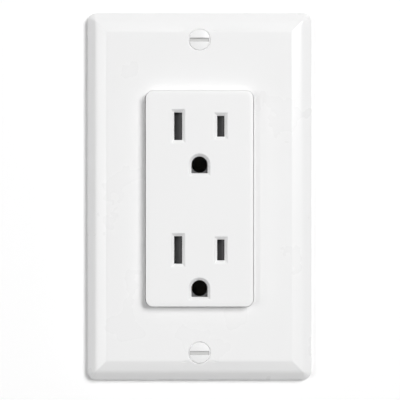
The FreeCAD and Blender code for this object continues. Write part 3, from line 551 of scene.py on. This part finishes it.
def makeWallPlate():
    p = wallPlate
    size = (plateHigh.x - plateLow.x, plateHigh.z - plateLow.z)
    front, back, land = p["front"], p["front"] + p["skin"], p["land"]
    rim, knee, slope = p["rimHeight"], p["kneeInset"], p["bevelWidth"]
    bm = bmesh.new()
    # over the rim and the two slopes to the flat front
    border = [(p["rimWall"], 0), (0, 0), (0, -rim), (knee, front + p["kneeDrop"]), (slope, front),
              (slope + 2 * land, front)]
    border = roundedPath(border, p["borderRounds"])
    framed(bm, (0, 0), size, border, p["corner"], p["leastCorner"])
    # inside of the rim, back to the flat back of the skin
    hollow = [(p["rimWall"], 0), (p["rimWall"], -p["hollowStep"]),
              (knee + p["hollowLead"], back + p["hollowDrop"]),
              (slope - 2 * land, back), (slope - land, back)]
    framed(bm, (0, 0), size, roundedPath(hollow, (0, 0.5 * mm, 0.5 * mm), 3), p["corner"], p["leastCorner"])
    # the screw heads sink partly into the slope: a patch of it is cut out and filled again round each hole
    half, inset = p["patchHalf"], border[-9].x
    sliceAt(bm, "x", (half, -half))
    reach = size[1] / 2 - inset
    patch = [f for f in bm.faces if f.normal.length and abs(f.calc_center_median().x) < half
             and abs(f.calc_center_median().z) < reach and f.calc_center_median().y < front + p["patchDepth"]]
    bmesh.ops.delete(bm, geom=patch, context="FACES")
    inner = [e for e in bm.edges if e.is_boundary and max(v.co.y for v in e.verts) < front + p["patchDepth"]]
    innerBack = [e for e in bm.edges if e.is_boundary and e not in inner
                 and all(abs(v.co.y - back) < hair for v in e.verts)]
    edge = p["windowRound"]
    window = roundedPath([(-land, front), (0, front), (0, back), (-land, back)], (edge, edge), 4)
    mouth, mouthBack = framed(bm, (0, faceMiddle), p["windowSize"], window, p["windowCorner"])
    rings, ringsBack = [mouth], [mouthBack]
    edge = p["holeRound"]
    for level in p["screwLevels"]:
        mouthRadius, throat = p["holeRadius"], p["holeThroat"]
        hole = [(mouthRadius + land, front), (mouthRadius, front), (throat, back - edge), (throat, back),
                (throat + land, back)]
        hole = roundedPath(hole, (edge, 0, 0), 4)
        ring, ringBack = turned(bm, (0, level), hole)
        rings.append(ring)
        ringsBack.append(ringBack)
    fillAround(bm, inner, rings)
    fillAround(bm, innerBack, ringsBack)
    # the filled patch follows the slope again
    stations = [size[1] / 2 - point.x for point in border[-8:-1]]
    sliceAt(bm, "z", stations + [-z for z in stations])
    for vert in bm.verts:
        place = size[1] / 2 - abs(vert.co.z)
        inPatch = abs(vert.co.x) < half - hair and vert.co.y < front + land / 2
        if inPatch and inset < place < border[-1].x:
            after = next(i for i in range(len(border) - 8, len(border)) if border[i].x >= place)
            low, high = border[after - 1], border[after]
            level = low.y + (high.y - low.y) * (place - low.x) / (high.x - low.x)
            vert.co.y += level - front
    return makePiece("wallPlate", bm, "device", "plate", ["wall_plate"], angle=30.0)


def makePlateRibs():
    # stiffening bars behind the plate, round the window
    p = wallPlate
    sideX, half, (lowZ, highZ) = p["ribSide"], p["ribHalf"], p["ribLevels"]
    front, end = p["front"] + p["skin"] - 0.1 * mm, p["ribBack"]
    middle, tall = (lowZ + highZ) / 2, highZ - lowZ + 2 * half
    bm = bmesh.new()
    bars = [((sideX, middle), (2 * half, tall)), ((-sideX, middle), (2 * half, tall)),
            ((0, highZ), (2 * sideX, 2 * half)), ((0, lowZ), (2 * sideX, 2 * half))]
    for (x, z), (wide, high) in bars:
        spot = Matrix.Translation((x, (front + end) / 2, z)) @ Matrix.Diagonal((wide, end - front, high, 1))
        made = bmesh.ops.create_cube(bm, size=1.0, matrix=spot)
        edges = list({e for v in made["verts"] for e in v.link_edges})
        bevelEdges(bm, edges, 0.2 * mm, 2)
    return makePiece("plateRibs", bm, "device", "plate")


makeWallPlate()
makePlateRibs()
print("wall plate made")


# Receptacle face: the raised nose with its slots and ground holes, on a hidden flange

receptacle = {
    "front": -8.5 * mm,
    "size": (33.1 * mm, 66.4 * mm),
    "corner": 2.3 * mm,
    "edgeRound": 0.22 * mm,
    "crownWidth": 1.15 * mm,
    "crownDrop": 0.12 * mm,
    "crownRound": 7.5 * mm,
    "crownRun": 0.45 * mm,
    "base": -2.9 * mm,
    "skin": 2.4 * mm,
    "wall": 1.6 * mm,
    "slotLead": 0.95 * mm,
    "groundLead": 0.85 * mm,
    "neutral": (-6.57 * mm, 2.46 * mm, 8.5 * mm),
    "hot": (6.57 * mm, 2.24 * mm, 6.43 * mm),
    "ground": (4.96 * mm, 5.2 * mm),
    "bladeLevels": (22.32 * mm, -15.78 * mm),
    "groundLevels": (10.45 * mm, -27.65 * mm),
    "mouthRound": 0.14 * mm,
    "throatCorner": 0.12 * mm,
    "land": 0.3 * mm,
}


def makeReceptacleFace():
    p = receptacle
    front, back, wall, land = p["front"], p["front"] + p["skin"], p["wall"], p["land"]
    base = (faceHigh.x - faceLow.x, faceHigh.z - faceLow.z)
    bm = bmesh.new()
    # a crisp edge, and a slight crown that falls away towards it
    crown = p["crownWidth"]
    outside = [(0, p["base"]), (0, front + p["crownDrop"]), (crown, front), (crown + p["crownRun"], front)]
    outside = roundedPath(outside, (p["edgeRound"], p["crownRound"]), 6)
    foot, inner = framed(bm, (0, faceMiddle), p["size"], outside, p["corner"], 0.2 * mm)
    step = cornerLoop(bm, (0, faceMiddle), base, p["base"], 2.0 * mm, segments=8)
    heel = cornerLoop(bm, (0, faceMiddle), base, faceHigh.y, 2.0 * mm, segments=8)
    cavity = [(wall, faceHigh.y), (wall, back), (wall + land, back)]
    hollow, innerBack = framed(bm, (0, faceMiddle), p["size"], cavity, p["corner"], 0.2 * mm)
    stack(bm, [foot, step, heel, hollow])
    mouths, mouthsBack = [], []
    rounds = (p["mouthRound"] * 2, p["mouthRound"], 0)
    blades = [(x, level, size) for level in p["bladeLevels"] for x, *size in (p["neutral"], p["hot"])]
    for x, level, size in blades:
        lead = p["slotLead"]
        path = [(-lead - land, front), (-lead, front), (0, front + lead), (0, back), (-land, back)]
        mouth, mouthBack = framed(bm, (x, faceMiddle + level), size, roundedPath(path, rounds, 3),
                                  p["throatCorner"], segments=3, mitred=True)
        mouths.append(mouth)
        mouthsBack.append(mouthBack)
    for level in p["groundLevels"]:
        lead = p["groundLead"]
        path = [(-lead - land, front), (-lead, front), (0, front + lead), (0, back), (-land, back)]
        mouth, mouthBack = framed(bm, (0, faceMiddle + level), p["ground"], roundedPath(path, rounds, 3),
                                  p["ground"][0] / 2 - 2 * hair, segments=14, lowCorner=p["throatCorner"])
        mouths.append(mouth)
        mouthsBack.append(mouthBack)
    fillAround(bm, inner, mouths)
    fillAround(bm, innerBack, mouthsBack)
    node = "receptacle_face"
    return makePiece("receptacleFace", bm, "device", "face", [node], angle=30.0)


makeReceptacleFace()
print("receptacle face made")


# Dark pads behind the face, round each ground hole: painted shade, a dark sheet so that no bare metal shows
# in the hole's corners

groundShadePad = {
    "side": 6.0 * mm,
    "corner": 0.6 * mm,
    "hole": 2.44 * mm,
    "front": -6.07 * mm,
    "back": -5.87 * mm,
    "edge": 0.05 * mm,
    "land": 0.12 * mm,
}


# a dark sheet with a round hole, standing in for shade behind the ground hole
def makeGroundShadePad(name, level):
    p = groundShadePad
    spot, land = (0, faceMiddle + level), p["land"]
    bm = bmesh.new()
    outside = [(land, p["front"]), (0, p["front"]), (0, p["back"]), (land, p["back"])]
    outside = roundedPath(outside, (p["edge"], p["edge"]), 2)
    front, back = framed(bm, spot, (p["side"], p["side"]), outside, p["corner"], 0.1 * mm)
    bore = [(p["hole"] + inset, depth) for inset, depth in outside]
    ring, ringBack = turned(bm, spot, bore, segments=48)
    fillAround(bm, front, [ring])
    fillAround(bm, back, [ringBack])
    return makePiece("groundShadePad." + name, bm, "device", "body", angle=30.0)


for name, level in zip(("upper", "lower"), receptacle["groundLevels"]):
    makeGroundShadePad(name, level)
print("ground pads made")


# Screws, each made upright at the origin and then set in its place

def turnedTo(direction, origin):
    # local Z points out of the head: along -Y, +Y, +X or -X of the frame
    rows = {
        "-Y": ((1, 0, 0), (0, 0, 1), (0, -1, 0)),
        "+Y": ((-1, 0, 0), (0, 0, 1), (0, 1, 0)),
        "+X": ((0, 1, 0), (0, 0, 1), (1, 0, 0)),
        "-X": ((0, -1, 0), (0, 0, 1), (-1, 0, 0)),
    }[direction]
    turn = Matrix(rows).transposed().to_4x4()
    return Matrix.Translation(origin) @ turn


def lathe(bm, profile, steps=64):
    # a profile of (radius, height) pairs, spun once round Z
    verts = [bm.verts.new((radius, 0, z)) for radius, z in profile]
    edges = [bm.edges.new(pair) for pair in zip(verts, verts[1:])]
    bmesh.ops.spin(bm, geom=verts + edges, cent=(0, 0, 0), axis=(0, 0, 1), angle=math.tau, steps=steps,
                   use_merge=True, use_duplicate=False)
    bmesh.ops.remove_doubles(bm, verts=bm.verts, dist=2 * hair)
    bmesh.ops.recalc_face_normals(bm, faces=bm.faces)


def arc(radius, height, top, count):
    # the crown of a domed head, from its middle to its rim
    ball = (radius ** 2 + height ** 2) / (2 * height)
    turn = math.asin(radius / ball)
    angles = [turn * i / count for i in range(count + 1)]
    return [(ball * math.sin(a), top - ball + ball * math.cos(a)) for a in angles]


def roundedRim(radius, top, edge, steps):
    # a quarter turn from the top of a head down to its side
    angles = [math.radians(90 / steps * i) for i in range(steps + 1)]
    return [(radius - edge + edge * math.sin(a), top - edge + edge * math.cos(a)) for a in angles]


def addThread(bm, radius, depth, pitch, start, length, steps=24):
    # a ridge with a three-cornered section that climbs down the shank
    half = pitch * 0.42
    turns = length / pitch
    root = radius - depth
    corners = (root, 0, start + half), (radius, 0, start), (root, 0, start - half)
    verts = [bm.verts.new(corner) for corner in corners]
    edges = [bm.edges.new((verts[i], verts[(i + 1) % 3])) for i in range(3)]
    count = int(round(turns * steps))
    before = set(bm.edges)
    bmesh.ops.spin(bm, geom=verts + edges, cent=(0, 0, 0), axis=(0, 0, 1), dvec=(0, 0, -pitch / steps),
                   angle=-math.tau * count / steps, steps=count, use_merge=False, use_duplicate=False)
    fresh = [e for e in bm.edges if e.is_boundary and (e not in before or e in edges)]
    bmesh.ops.holes_fill(bm, edges=fresh, sides=3)


def pushIn(bm, inside, floor):
    # faces whose middle passes the test go down to a floor, with walls round them
    faces = [f for f in bm.faces if f.normal.z > 0.3 and inside(f.calc_center_median())]
    made = bmesh.ops.extrude_face_region(bm, geom=faces)
    bmesh.ops.delete(bm, geom=[f for f in faces if f.is_valid], context="FACES")
    for item in made["geom"]:
        if isinstance(item, bmesh.types.BMVert):
            item.co.z = floor


def openSlot(bm, half, floor):
    # a driver slot right across a head: faces above the floor go, then two walls and a floor close it
    sliceAt(bm, "y", (half, -half))
    sliceAt(bm, "z", (floor,))
    middles = {f: f.calc_center_median() for f in bm.faces}
    inner, above = half - hair / 10, floor + hair / 10
    gone = [f for f, middle in middles.items() if abs(middle.y) < inner and middle.z > above]
    bmesh.ops.delete(bm, geom=gone, context="FACES")
    floorLines = []
    for side in (half, -half):
        wall = [e for e in bm.edges if e.is_boundary and all(abs(v.co.y - side) < hair for v in e.verts)]
        ends = [v for e in wall for v in e.verts if sum(x in wall for x in v.link_edges) == 1]
        line = bm.edges.new((ends[0], ends[1]))
        floorLines.append(line)
        bmesh.ops.contextual_create(bm, geom=wall + [line])
    rims = [e for e in bm.edges if e.is_boundary and all(abs(v.co.z - floor) < hair for v in e.verts)]
    bmesh.ops.contextual_create(bm, geom=rims)


def finishScrew(name, bm, direction, origin, body, finish, replaced, angle=32.0):
    bmesh.ops.recalc_face_normals(bm, faces=bm.faces)
    bmesh.ops.transform(bm, matrix=turnedTo(direction, origin), verts=bm.verts)
    return makePiece(name, bm, body, finish, replaced, angle)


plateScrew = {
    "front": -5.5 * mm,
    "headRadius": 3.27 * mm,
    "rimDrop": 0.3 * mm,
    "dome": 0.3 * mm,
    "coneDepth": 1.95 * mm,
    "shankRadius": 1.75 * mm,
    "length": 12.7 * mm,
    "pitch": 0.794 * mm,
    "threadDepth": 0.45 * mm,
    "slotHalf": (2.98 * mm, 0.6 * mm),
    "slotFloor": -0.3 * mm,
    "crownInset": 0.16 * mm,
    "rimRoll": (0.05 * mm, 0.1 * mm),
    "relief": 0.3 * mm,
    "tip": 0.7 * mm,
    "endGap": 0.02 * mm,
    "threadEnds": (0.9 * mm, 2.1 * mm),
}


def makePlateScrew(level):
    p = plateScrew
    radius, shank = p["headRadius"], p["shankRadius"] - p["threadDepth"]
    bm = bmesh.new()
    # the crown rolls over at its rim, and the cone starts below it
    crown = arc(radius - p["crownInset"], p["dome"], p["dome"], 10)
    rollIn, rollDown = p["rimRoll"]
    cone = [(radius - rollIn, -rollDown), (radius, -p["rimDrop"]), (p["shankRadius"], -p["coneDepth"])]
    end = -p["length"] + p["endGap"]
    stem = [(shank, -p["coneDepth"] - p["relief"]), (shank, -p["length"] + p["tip"]),
            (shank * 0.5, end), (0, end)]
    lathe(bm, crown + cone + stem, steps=72)
    long, short = p["slotHalf"]
    sliceAt(bm, "x", (long, -long))
    sliceAt(bm, "y", (short, -short))
    pushIn(bm, lambda c: abs(c.x) < long and abs(c.y) < short and c.z > 0, p["slotFloor"])
    threadStart, threadSpare = p["threadEnds"]
    addThread(bm, p["shankRadius"], p["threadDepth"], p["pitch"], -p["coneDepth"] - threadStart,
              p["length"] - p["coneDepth"] - threadSpare)
    node = "plate_screw_" + level
    low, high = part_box(node)
    origin = (0, p["front"], (low.z + high.z) / 2)
    head = finishScrew("plateScrew." + level, bm, "-Y", origin, node, "screwPaint", [node], angle=25.0)
    # the slot's faces take a darker grey: painted shade of the slot's recess
    head.data.materials.append(finishes["paintedSlotShade"])
    for polygon in head.data.polygons:
        place = polygon.center - Vector(origin)
        within = abs(place.x) < long + 2 * hair and abs(place.z) < short + 2 * hair
        if within and -place.y > p["slotFloor"] - 2 * hair:
            polygon.material_index = 1


mountingScrew = {
    "headRadius": 3.7 * mm,
    "headHeight": 1.8 * mm,
    "headEdge": 0.7 * mm,
    "neckRadius": 1.38 * mm,
    "neckLength": 3.0 * mm,
    "threadRadius": 1.75 * mm,
    "threadDepth": 0.45 * mm,
    "pitch": 0.794 * mm,
    "slotHalf": 0.6 * mm,
    "slotDepth": 0.95 * mm,
    "relief": 0.1 * mm,
    "tip": 0.8 * mm,
    "threadEnds": (0.5 * mm, 1.4 * mm),
}


def makeMountingScrew(level):
    p = mountingScrew
    node = "mounting_screw_" + level
    low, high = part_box(node)
    top, total = p["headHeight"], high.y - low.y
    length = total - top
    radius, core = p["headRadius"], p["threadRadius"] - p["threadDepth"]
    bm = bmesh.new()
    neck, neckEnd = p["neckRadius"], -p["neckLength"]
    shank = [(radius, 0.0), (neck, 0.0), (neck, neckEnd), (core, neckEnd - p["relief"]),
             (core, -length + p["tip"]), (core * 0.6, -length), (0, -length)]
    lathe(bm, [(0, top)] + roundedRim(radius, top, p["headEdge"], 6) + shank, steps=64)
    openSlot(bm, p["slotHalf"], top - p["slotDepth"])
    threadStart, threadSpare = p["threadEnds"]
    addThread(bm, p["threadRadius"], p["threadDepth"], p["pitch"], neckEnd - threadStart,
              length + neckEnd - threadSpare)
    origin = (0, low.y + top, (low.z + high.z) / 2)
    finishScrew("mountingScrew." + level, bm, "-Y", origin, node, "zinc", [node])


terminalScrew = {
    "headRadius": 4.0 * mm,
    "headHeight": 2.0 * mm,
    "headEdge": 0.5 * mm,
    "shankRadius": 2.08 * mm,
    "threadDepth": 0.42 * mm,
    "pitch": 0.794 * mm,
    "slotHalf": 0.55 * mm,
    "slotDepth": 0.9 * mm,
    "rimRoll": (0.2 * mm, 0.25 * mm),
    "relief": 0.5 * mm,
    "tip": 0.4 * mm,
    "threadEnds": (0.75 * mm, 1.5 * mm),
}


def makeTerminalScrew(node, finish, headRadius):
    p = terminalScrew
    low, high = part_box(node)
    onRight = low.x > 0
    reach = high.x - low.x
    top = p["headHeight"]
    length = reach - top
    edge, core = p["headEdge"], p["shankRadius"] - p["threadDepth"]
    bm = bmesh.new()
    rollIn, rollUp = p["rimRoll"]
    shank = [(headRadius, rollUp), (headRadius - rollIn, 0.0), (p["shankRadius"], 0.0), (core, -p["relief"]),
             (core, -length + p["tip"]), (core * 0.6, -length), (0, -length)]
    lathe(bm, [(0, top)] + roundedRim(headRadius, top, edge, 5) + shank, steps=64)
    openSlot(bm, p["slotHalf"], top - p["slotDepth"])
    threadStart, threadSpare = p["threadEnds"]
    addThread(bm, p["shankRadius"], p["threadDepth"], p["pitch"], -threadStart, length - threadSpare)
    seat = high.x - top if onRight else low.x + top
    origin = (seat, (low.y + high.y) / 2, (low.z + high.z) / 2)
    # the slot runs front to back, as on the solid
    name = node.replace("_", " ").title().replace(" ", "")
    finishScrew(name[0].lower() + name[1:], bm, "+X" if onRight else "-X", origin, node, finish, [node])


assemblyScrew = {
    "headRadius": 2.4 * mm,
    "headHeight": 1.5 * mm,
    "shankRadius": 1.2 * mm,
    "crossHalf": (1.55 * mm, 0.4 * mm),
    "crossDepth": 0.9 * mm,
    "dome": 0.55 * mm,
    "rim": 0.15 * mm,
    "tip": 0.8 * mm,
}


def makeAssemblyScrews():
    p = assemblyScrew
    node = "assembly_screws"
    low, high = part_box(node)
    top, rim = p["headHeight"], p["rim"]
    length = high.y - low.y - top
    long, short = p["crossHalf"]
    count = 0

    def inCross(spot):
        near, far = sorted((abs(spot.x), abs(spot.y)))
        return spot.z > 2 * rim and near < short and far < long

    for x in (high.x - p["headRadius"], low.x + p["headRadius"]):
        for z in (high.z - p["headRadius"], low.z + p["headRadius"]):
            bm = bmesh.new()
            crown = arc(p["headRadius"], p["dome"], top, 8)
            shank = [(p["headRadius"], rim), (p["headRadius"] - rim, 0.0), (p["shankRadius"], 0.0),
                     (p["shankRadius"], -length + p["tip"]), (0, -length)]
            lathe(bm, crown + shank, steps=48)
            sliceAt(bm, "x", (long, short, -short, -long))
            sliceAt(bm, "y", (long, short, -short, -long))
            pushIn(bm, inCross, top - p["crossDepth"])
            origin = (x, high.y - top, z)
            count += 1
            finishScrew("assemblyScrew.%d" % count, bm, "+Y", origin, "device", "zinc", [node])


for level in levels:
    makePlateScrew(level)
    makeMountingScrew(level)
    makeTerminalScrew("hot_terminal_screw_" + level, "brass", terminalScrew["headRadius"])
    makeTerminalScrew("neutral_terminal_screw_" + level, "nickel", terminalScrew["headRadius"])
makeTerminalScrew("ground_terminal_screw", "greenScrew", 3.9 * mm)
makeAssemblyScrews()
print("screws made")


# Formed metal and moulded insides: the solid's own shape, with its sharp edges broken

edgeBreaks = {
    "back_body": ("backBody", "body", 0.22 * mm, "device"),
    "mounting_strap": ("mountingStrap", "zinc", 0.12 * mm, "device"),
    "hot_contact_strip": ("hotContactStrip", "brass", 0.08 * mm, "device"),
    "neutral_contact_strip": ("neutralContactStrip", "nickel", 0.08 * mm, "device"),
    "ground_clamp_plate": ("groundClampPlate", "zinc", 0.12 * mm, "ground_clamp_plate"),
}
for level in levels:
    for pole, finish in (("hot", "brass"), ("neutral", "nickel")):
        node = pole + "_clamp_plate_" + level
        edgeBreaks[node] = (pole + "ClampPlate." + level, finish, 0.12 * mm, node)
    edgeBreaks["retaining_washer_" + level] = ("retainingWasher." + level, "fibre", 0.08 * mm, "device")


def breakEdges(node, name, finish, width, body):
    bm = bmesh.new()
    bm.from_mesh(nodes[node].data)
    bmesh.ops.remove_doubles(bm, verts=bm.verts, dist=hair)
    bmesh.ops.dissolve_limit(bm, angle_limit=math.radians(0.5), use_dissolve_boundaries=False, verts=bm.verts,
                             edges=bm.edges, delimit=set())
    sharp = [e for e in bm.edges if len(e.link_faces) == 2 and e.calc_face_angle(0.0) > math.radians(38)]
    bmesh.ops.bevel(bm, geom=sharp, offset=width, offset_type="OFFSET", segments=2, profile=0.5,
                    affect="EDGES", clamp_overlap=True, material=-1)
    return makePiece(name, bm, body, finish, [node], angle=30.0)


for node, (name, finish, width, body) in edgeBreaks.items():
    breakEdges(node, name, finish, width, body)
print("edges broken:", len(edgeBreaks))


# Shutter springs: a coil between slider and carrier, made at its rest length; the real one shortens as the
# slider opens

shutterSpring = {
    "wire": 0.19 * mm,
    "radius": 0.73 * mm,
    "turns": 5,
    "steps": 28,
    "travel": 3.2 * mm,
}


def makeShutterSpring(level):
    p = shutterSpring
    node = "shutter_spring_" + level
    low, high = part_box(node)
    length = high.x - low.x
    steps = p["turns"] * p["steps"]
    rise = length - 2 * p["wire"]
    bm = bmesh.new()
    start = Matrix.Translation((p["radius"], 0, p["wire"])) @ Matrix.Rotation(math.pi / 2, 4, "X")
    bmesh.ops.create_circle(bm, cap_ends=False, segments=12, radius=p["wire"], matrix=start)
    section = list(bm.verts) + list(bm.edges)
    bmesh.ops.spin(bm, geom=section, cent=(0, 0, 0), axis=(0, 0, 1), dvec=(0, 0, rise / steps),
                   angle=math.tau * p["turns"], steps=steps, use_merge=False, use_duplicate=False)
    bmesh.ops.holes_fill(bm, edges=[e for e in bm.edges if e.is_boundary], sides=12)
    bmesh.ops.recalc_face_normals(bm, faces=bm.faces)
    middle = ((low.y + high.y) / 2, (low.z + high.z) / 2)
    bmesh.ops.transform(bm, matrix=turnedTo("+X", (low.x, *middle)), verts=bm.verts)
    spring = makePiece("shutterSpring." + level, bm, "device", "spring", [node], angle=60.0)
    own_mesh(spring)


for level in levels:
    makeShutterSpring(level)
print("shutter springs made")


# Nodes whose solids already have the right shape keep them

carriedOver = {"ground_rivets": "zinc"}
for level in levels:
    carriedOver["ground_contact_" + level] = "brass"
    carriedOver["shutter_slider_" + level] = "shutter"
    carriedOver["shutter_carrier_" + level] = "carrier"
for node, finish in carriedOver.items():
    for slot in nodes[node].material_slots:
        slot.material = finishes[finish]
print("carried over:", len(carriedOver))


# Wall, lamps and world

wallCard = {
    "size": 900 * mm,
    "boxOpening": (52 * mm, 92 * mm),
    "seen": (1.0, 1.0, 1.0),
    "bounced": (0.88, 0.88, 0.88),
}


def makeWall():
    p = wallCard
    bm = bmesh.new()
    outer = cornerLoop(bm, (0, 0), (p["size"], p["size"]), 0.0, 0.0, segments=1)
    opening = cornerLoop(bm, (0, 0), p["boxOpening"], 0.0, 0.0, segments=1)
    bridge(bm, outer, opening)
    for face in bm.faces:
        if face.normal.y > 0:
            face.normal_flip()
    mesh = bpy.data.meshes.new("wall")
    bm.to_mesh(mesh)
    bm.free()
    wall = bpy.data.objects.new("wall", mesh)
    bpy.context.scene.collection.objects.link(wall)
    wall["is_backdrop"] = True
    material = bpy.data.materials.new("wallPaint")
    material.use_nodes = True
    tree = material.node_tree
    tree.nodes.clear()
    out = addNode(tree, "ShaderNodeOutputMaterial", (600, 0))
    path = addNode(tree, "ShaderNodeLightPath", (-600, 300))
    shape = addNode(tree, "ShaderNodeNewGeometry", (-600, -200))
    tint = addNode(tree, "ShaderNodeMix", (-300, 100), data_type="RGBA")
    tint.inputs[6].default_value = (*p["bounced"], 1)
    tint.inputs[7].default_value = (*p["seen"], 1)
    tree.links.new(path.outputs["Is Camera Ray"], tint.inputs[0])
    paint = addNode(tree, "ShaderNodeBsdfDiffuse", (-50, 100))
    tree.links.new(tint.outputs[2], paint.inputs["Color"])
    clear = addNode(tree, "ShaderNodeBsdfTransparent", (-50, -100))
    mix = addNode(tree, "ShaderNodeMixShader", (250, 0))
    tree.links.new(shape.outputs["Backfacing"], mix.inputs[0])
    tree.links.new(paint.outputs[0], mix.inputs[1])
    tree.links.new(clear.outputs[0], mix.inputs[2])
    tree.links.new(mix.outputs[0], out.inputs["Surface"])
    mesh.materials.append(material)


# each panel stands across the view, at a depth; its span runs sideways, its rise up and down
panels = {
    "keyPanel": {"depth": -3.0, "span": (0.95, 2.85), "rise": (0.45, 2.5), "radiance": 13.3},
    "leftPanel": {"depth": -3.0, "span": (-2.65, -1.95), "rise": (-0.9, 1.0), "radiance": 9.0},
    "leftEdgePanel": {"depth": -2.0, "span": (-3.3, -2.5), "rise": (-1.0, 1.0), "radiance": 5.2},
    "lowPanel": {"depth": -3.0, "span": (-0.9, 1.8), "rise": (-1.8, -0.3), "radiance": 0.6},
    "backPanelLeft": {"depth": 1.0, "span": (-1.1, -0.4), "rise": (0.2, 1.1), "radiance": 4.0},
    "backPanelRight": {"depth": 1.0, "span": (0.5, 1.0), "rise": (-0.3, 0.7), "radiance": 1.5},
}
fillLevel = 0.03


def makePanel(name, depth, span, rise, radiance):
    data = bpy.data.lights.new(name, "AREA")
    data.shape = "RECTANGLE"
    data.size, data.size_y = span[1] - span[0], rise[1] - rise[0]
    data.energy = radiance * math.pi * data.size * data.size_y
    lamp = bpy.data.objects.new(name, data)
    lamp.location = ((span[0] + span[1]) / 2, depth, (rise[0] + rise[1]) / 2)
    lamp.rotation_euler = (math.copysign(math.pi / 2, -depth), 0, 0)
    lamp.visible_camera = False
    bpy.context.scene.collection.objects.link(lamp)


def makeWorld():
    world = bpy.data.worlds.new("studio")
    bpy.context.scene.world = world
    world.use_nodes = True
    tree = world.node_tree
    tree.nodes.clear()
    out = addNode(tree, "ShaderNodeOutputWorld", (600, 0))
    path = addNode(tree, "ShaderNodeLightPath", (-600, 200))
    seen = addNode(tree, "ShaderNodeMath", (-350, 250), operation="MAXIMUM")
    seenMore = addNode(tree, "ShaderNodeMath", (-150, 250), operation="MAXIMUM")
    tree.links.new(path.outputs["Is Camera Ray"], seen.inputs[0])
    tree.links.new(path.outputs["Is Glossy Ray"], seen.inputs[1])
    tree.links.new(seen.outputs[0], seenMore.inputs[0])
    tree.links.new(path.outputs["Is Transmission Ray"], seenMore.inputs[1])
    fill = addNode(tree, "ShaderNodeBackground", (0, 50))
    fill.inputs["Color"].default_value = (fillLevel, fillLevel, fillLevel, 1)
    white = addNode(tree, "ShaderNodeBackground", (0, -100))
    white.inputs["Color"].default_value = (1, 1, 1, 1)
    mix = addNode(tree, "ShaderNodeMixShader", (300, 0))
    tree.links.new(seenMore.outputs[0], mix.inputs[0])
    tree.links.new(fill.outputs[0], mix.inputs[1])
    tree.links.new(white.outputs[0], mix.inputs[2])
    tree.links.new(mix.outputs[0], out.inputs["Surface"])


makeWall()
for name, panel in panels.items():
    makePanel(name, **panel)
makeWorld()
bpy.context.scene.view_settings.view_transform = "Standard"
print("stage lit")

shownLow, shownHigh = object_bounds()
for label, box in (("cad box", (*cadLow, *cadHigh)), ("visual box", (*shownLow, *shownHigh))):
    print(label, [round(v / mm, 2) for v in box])
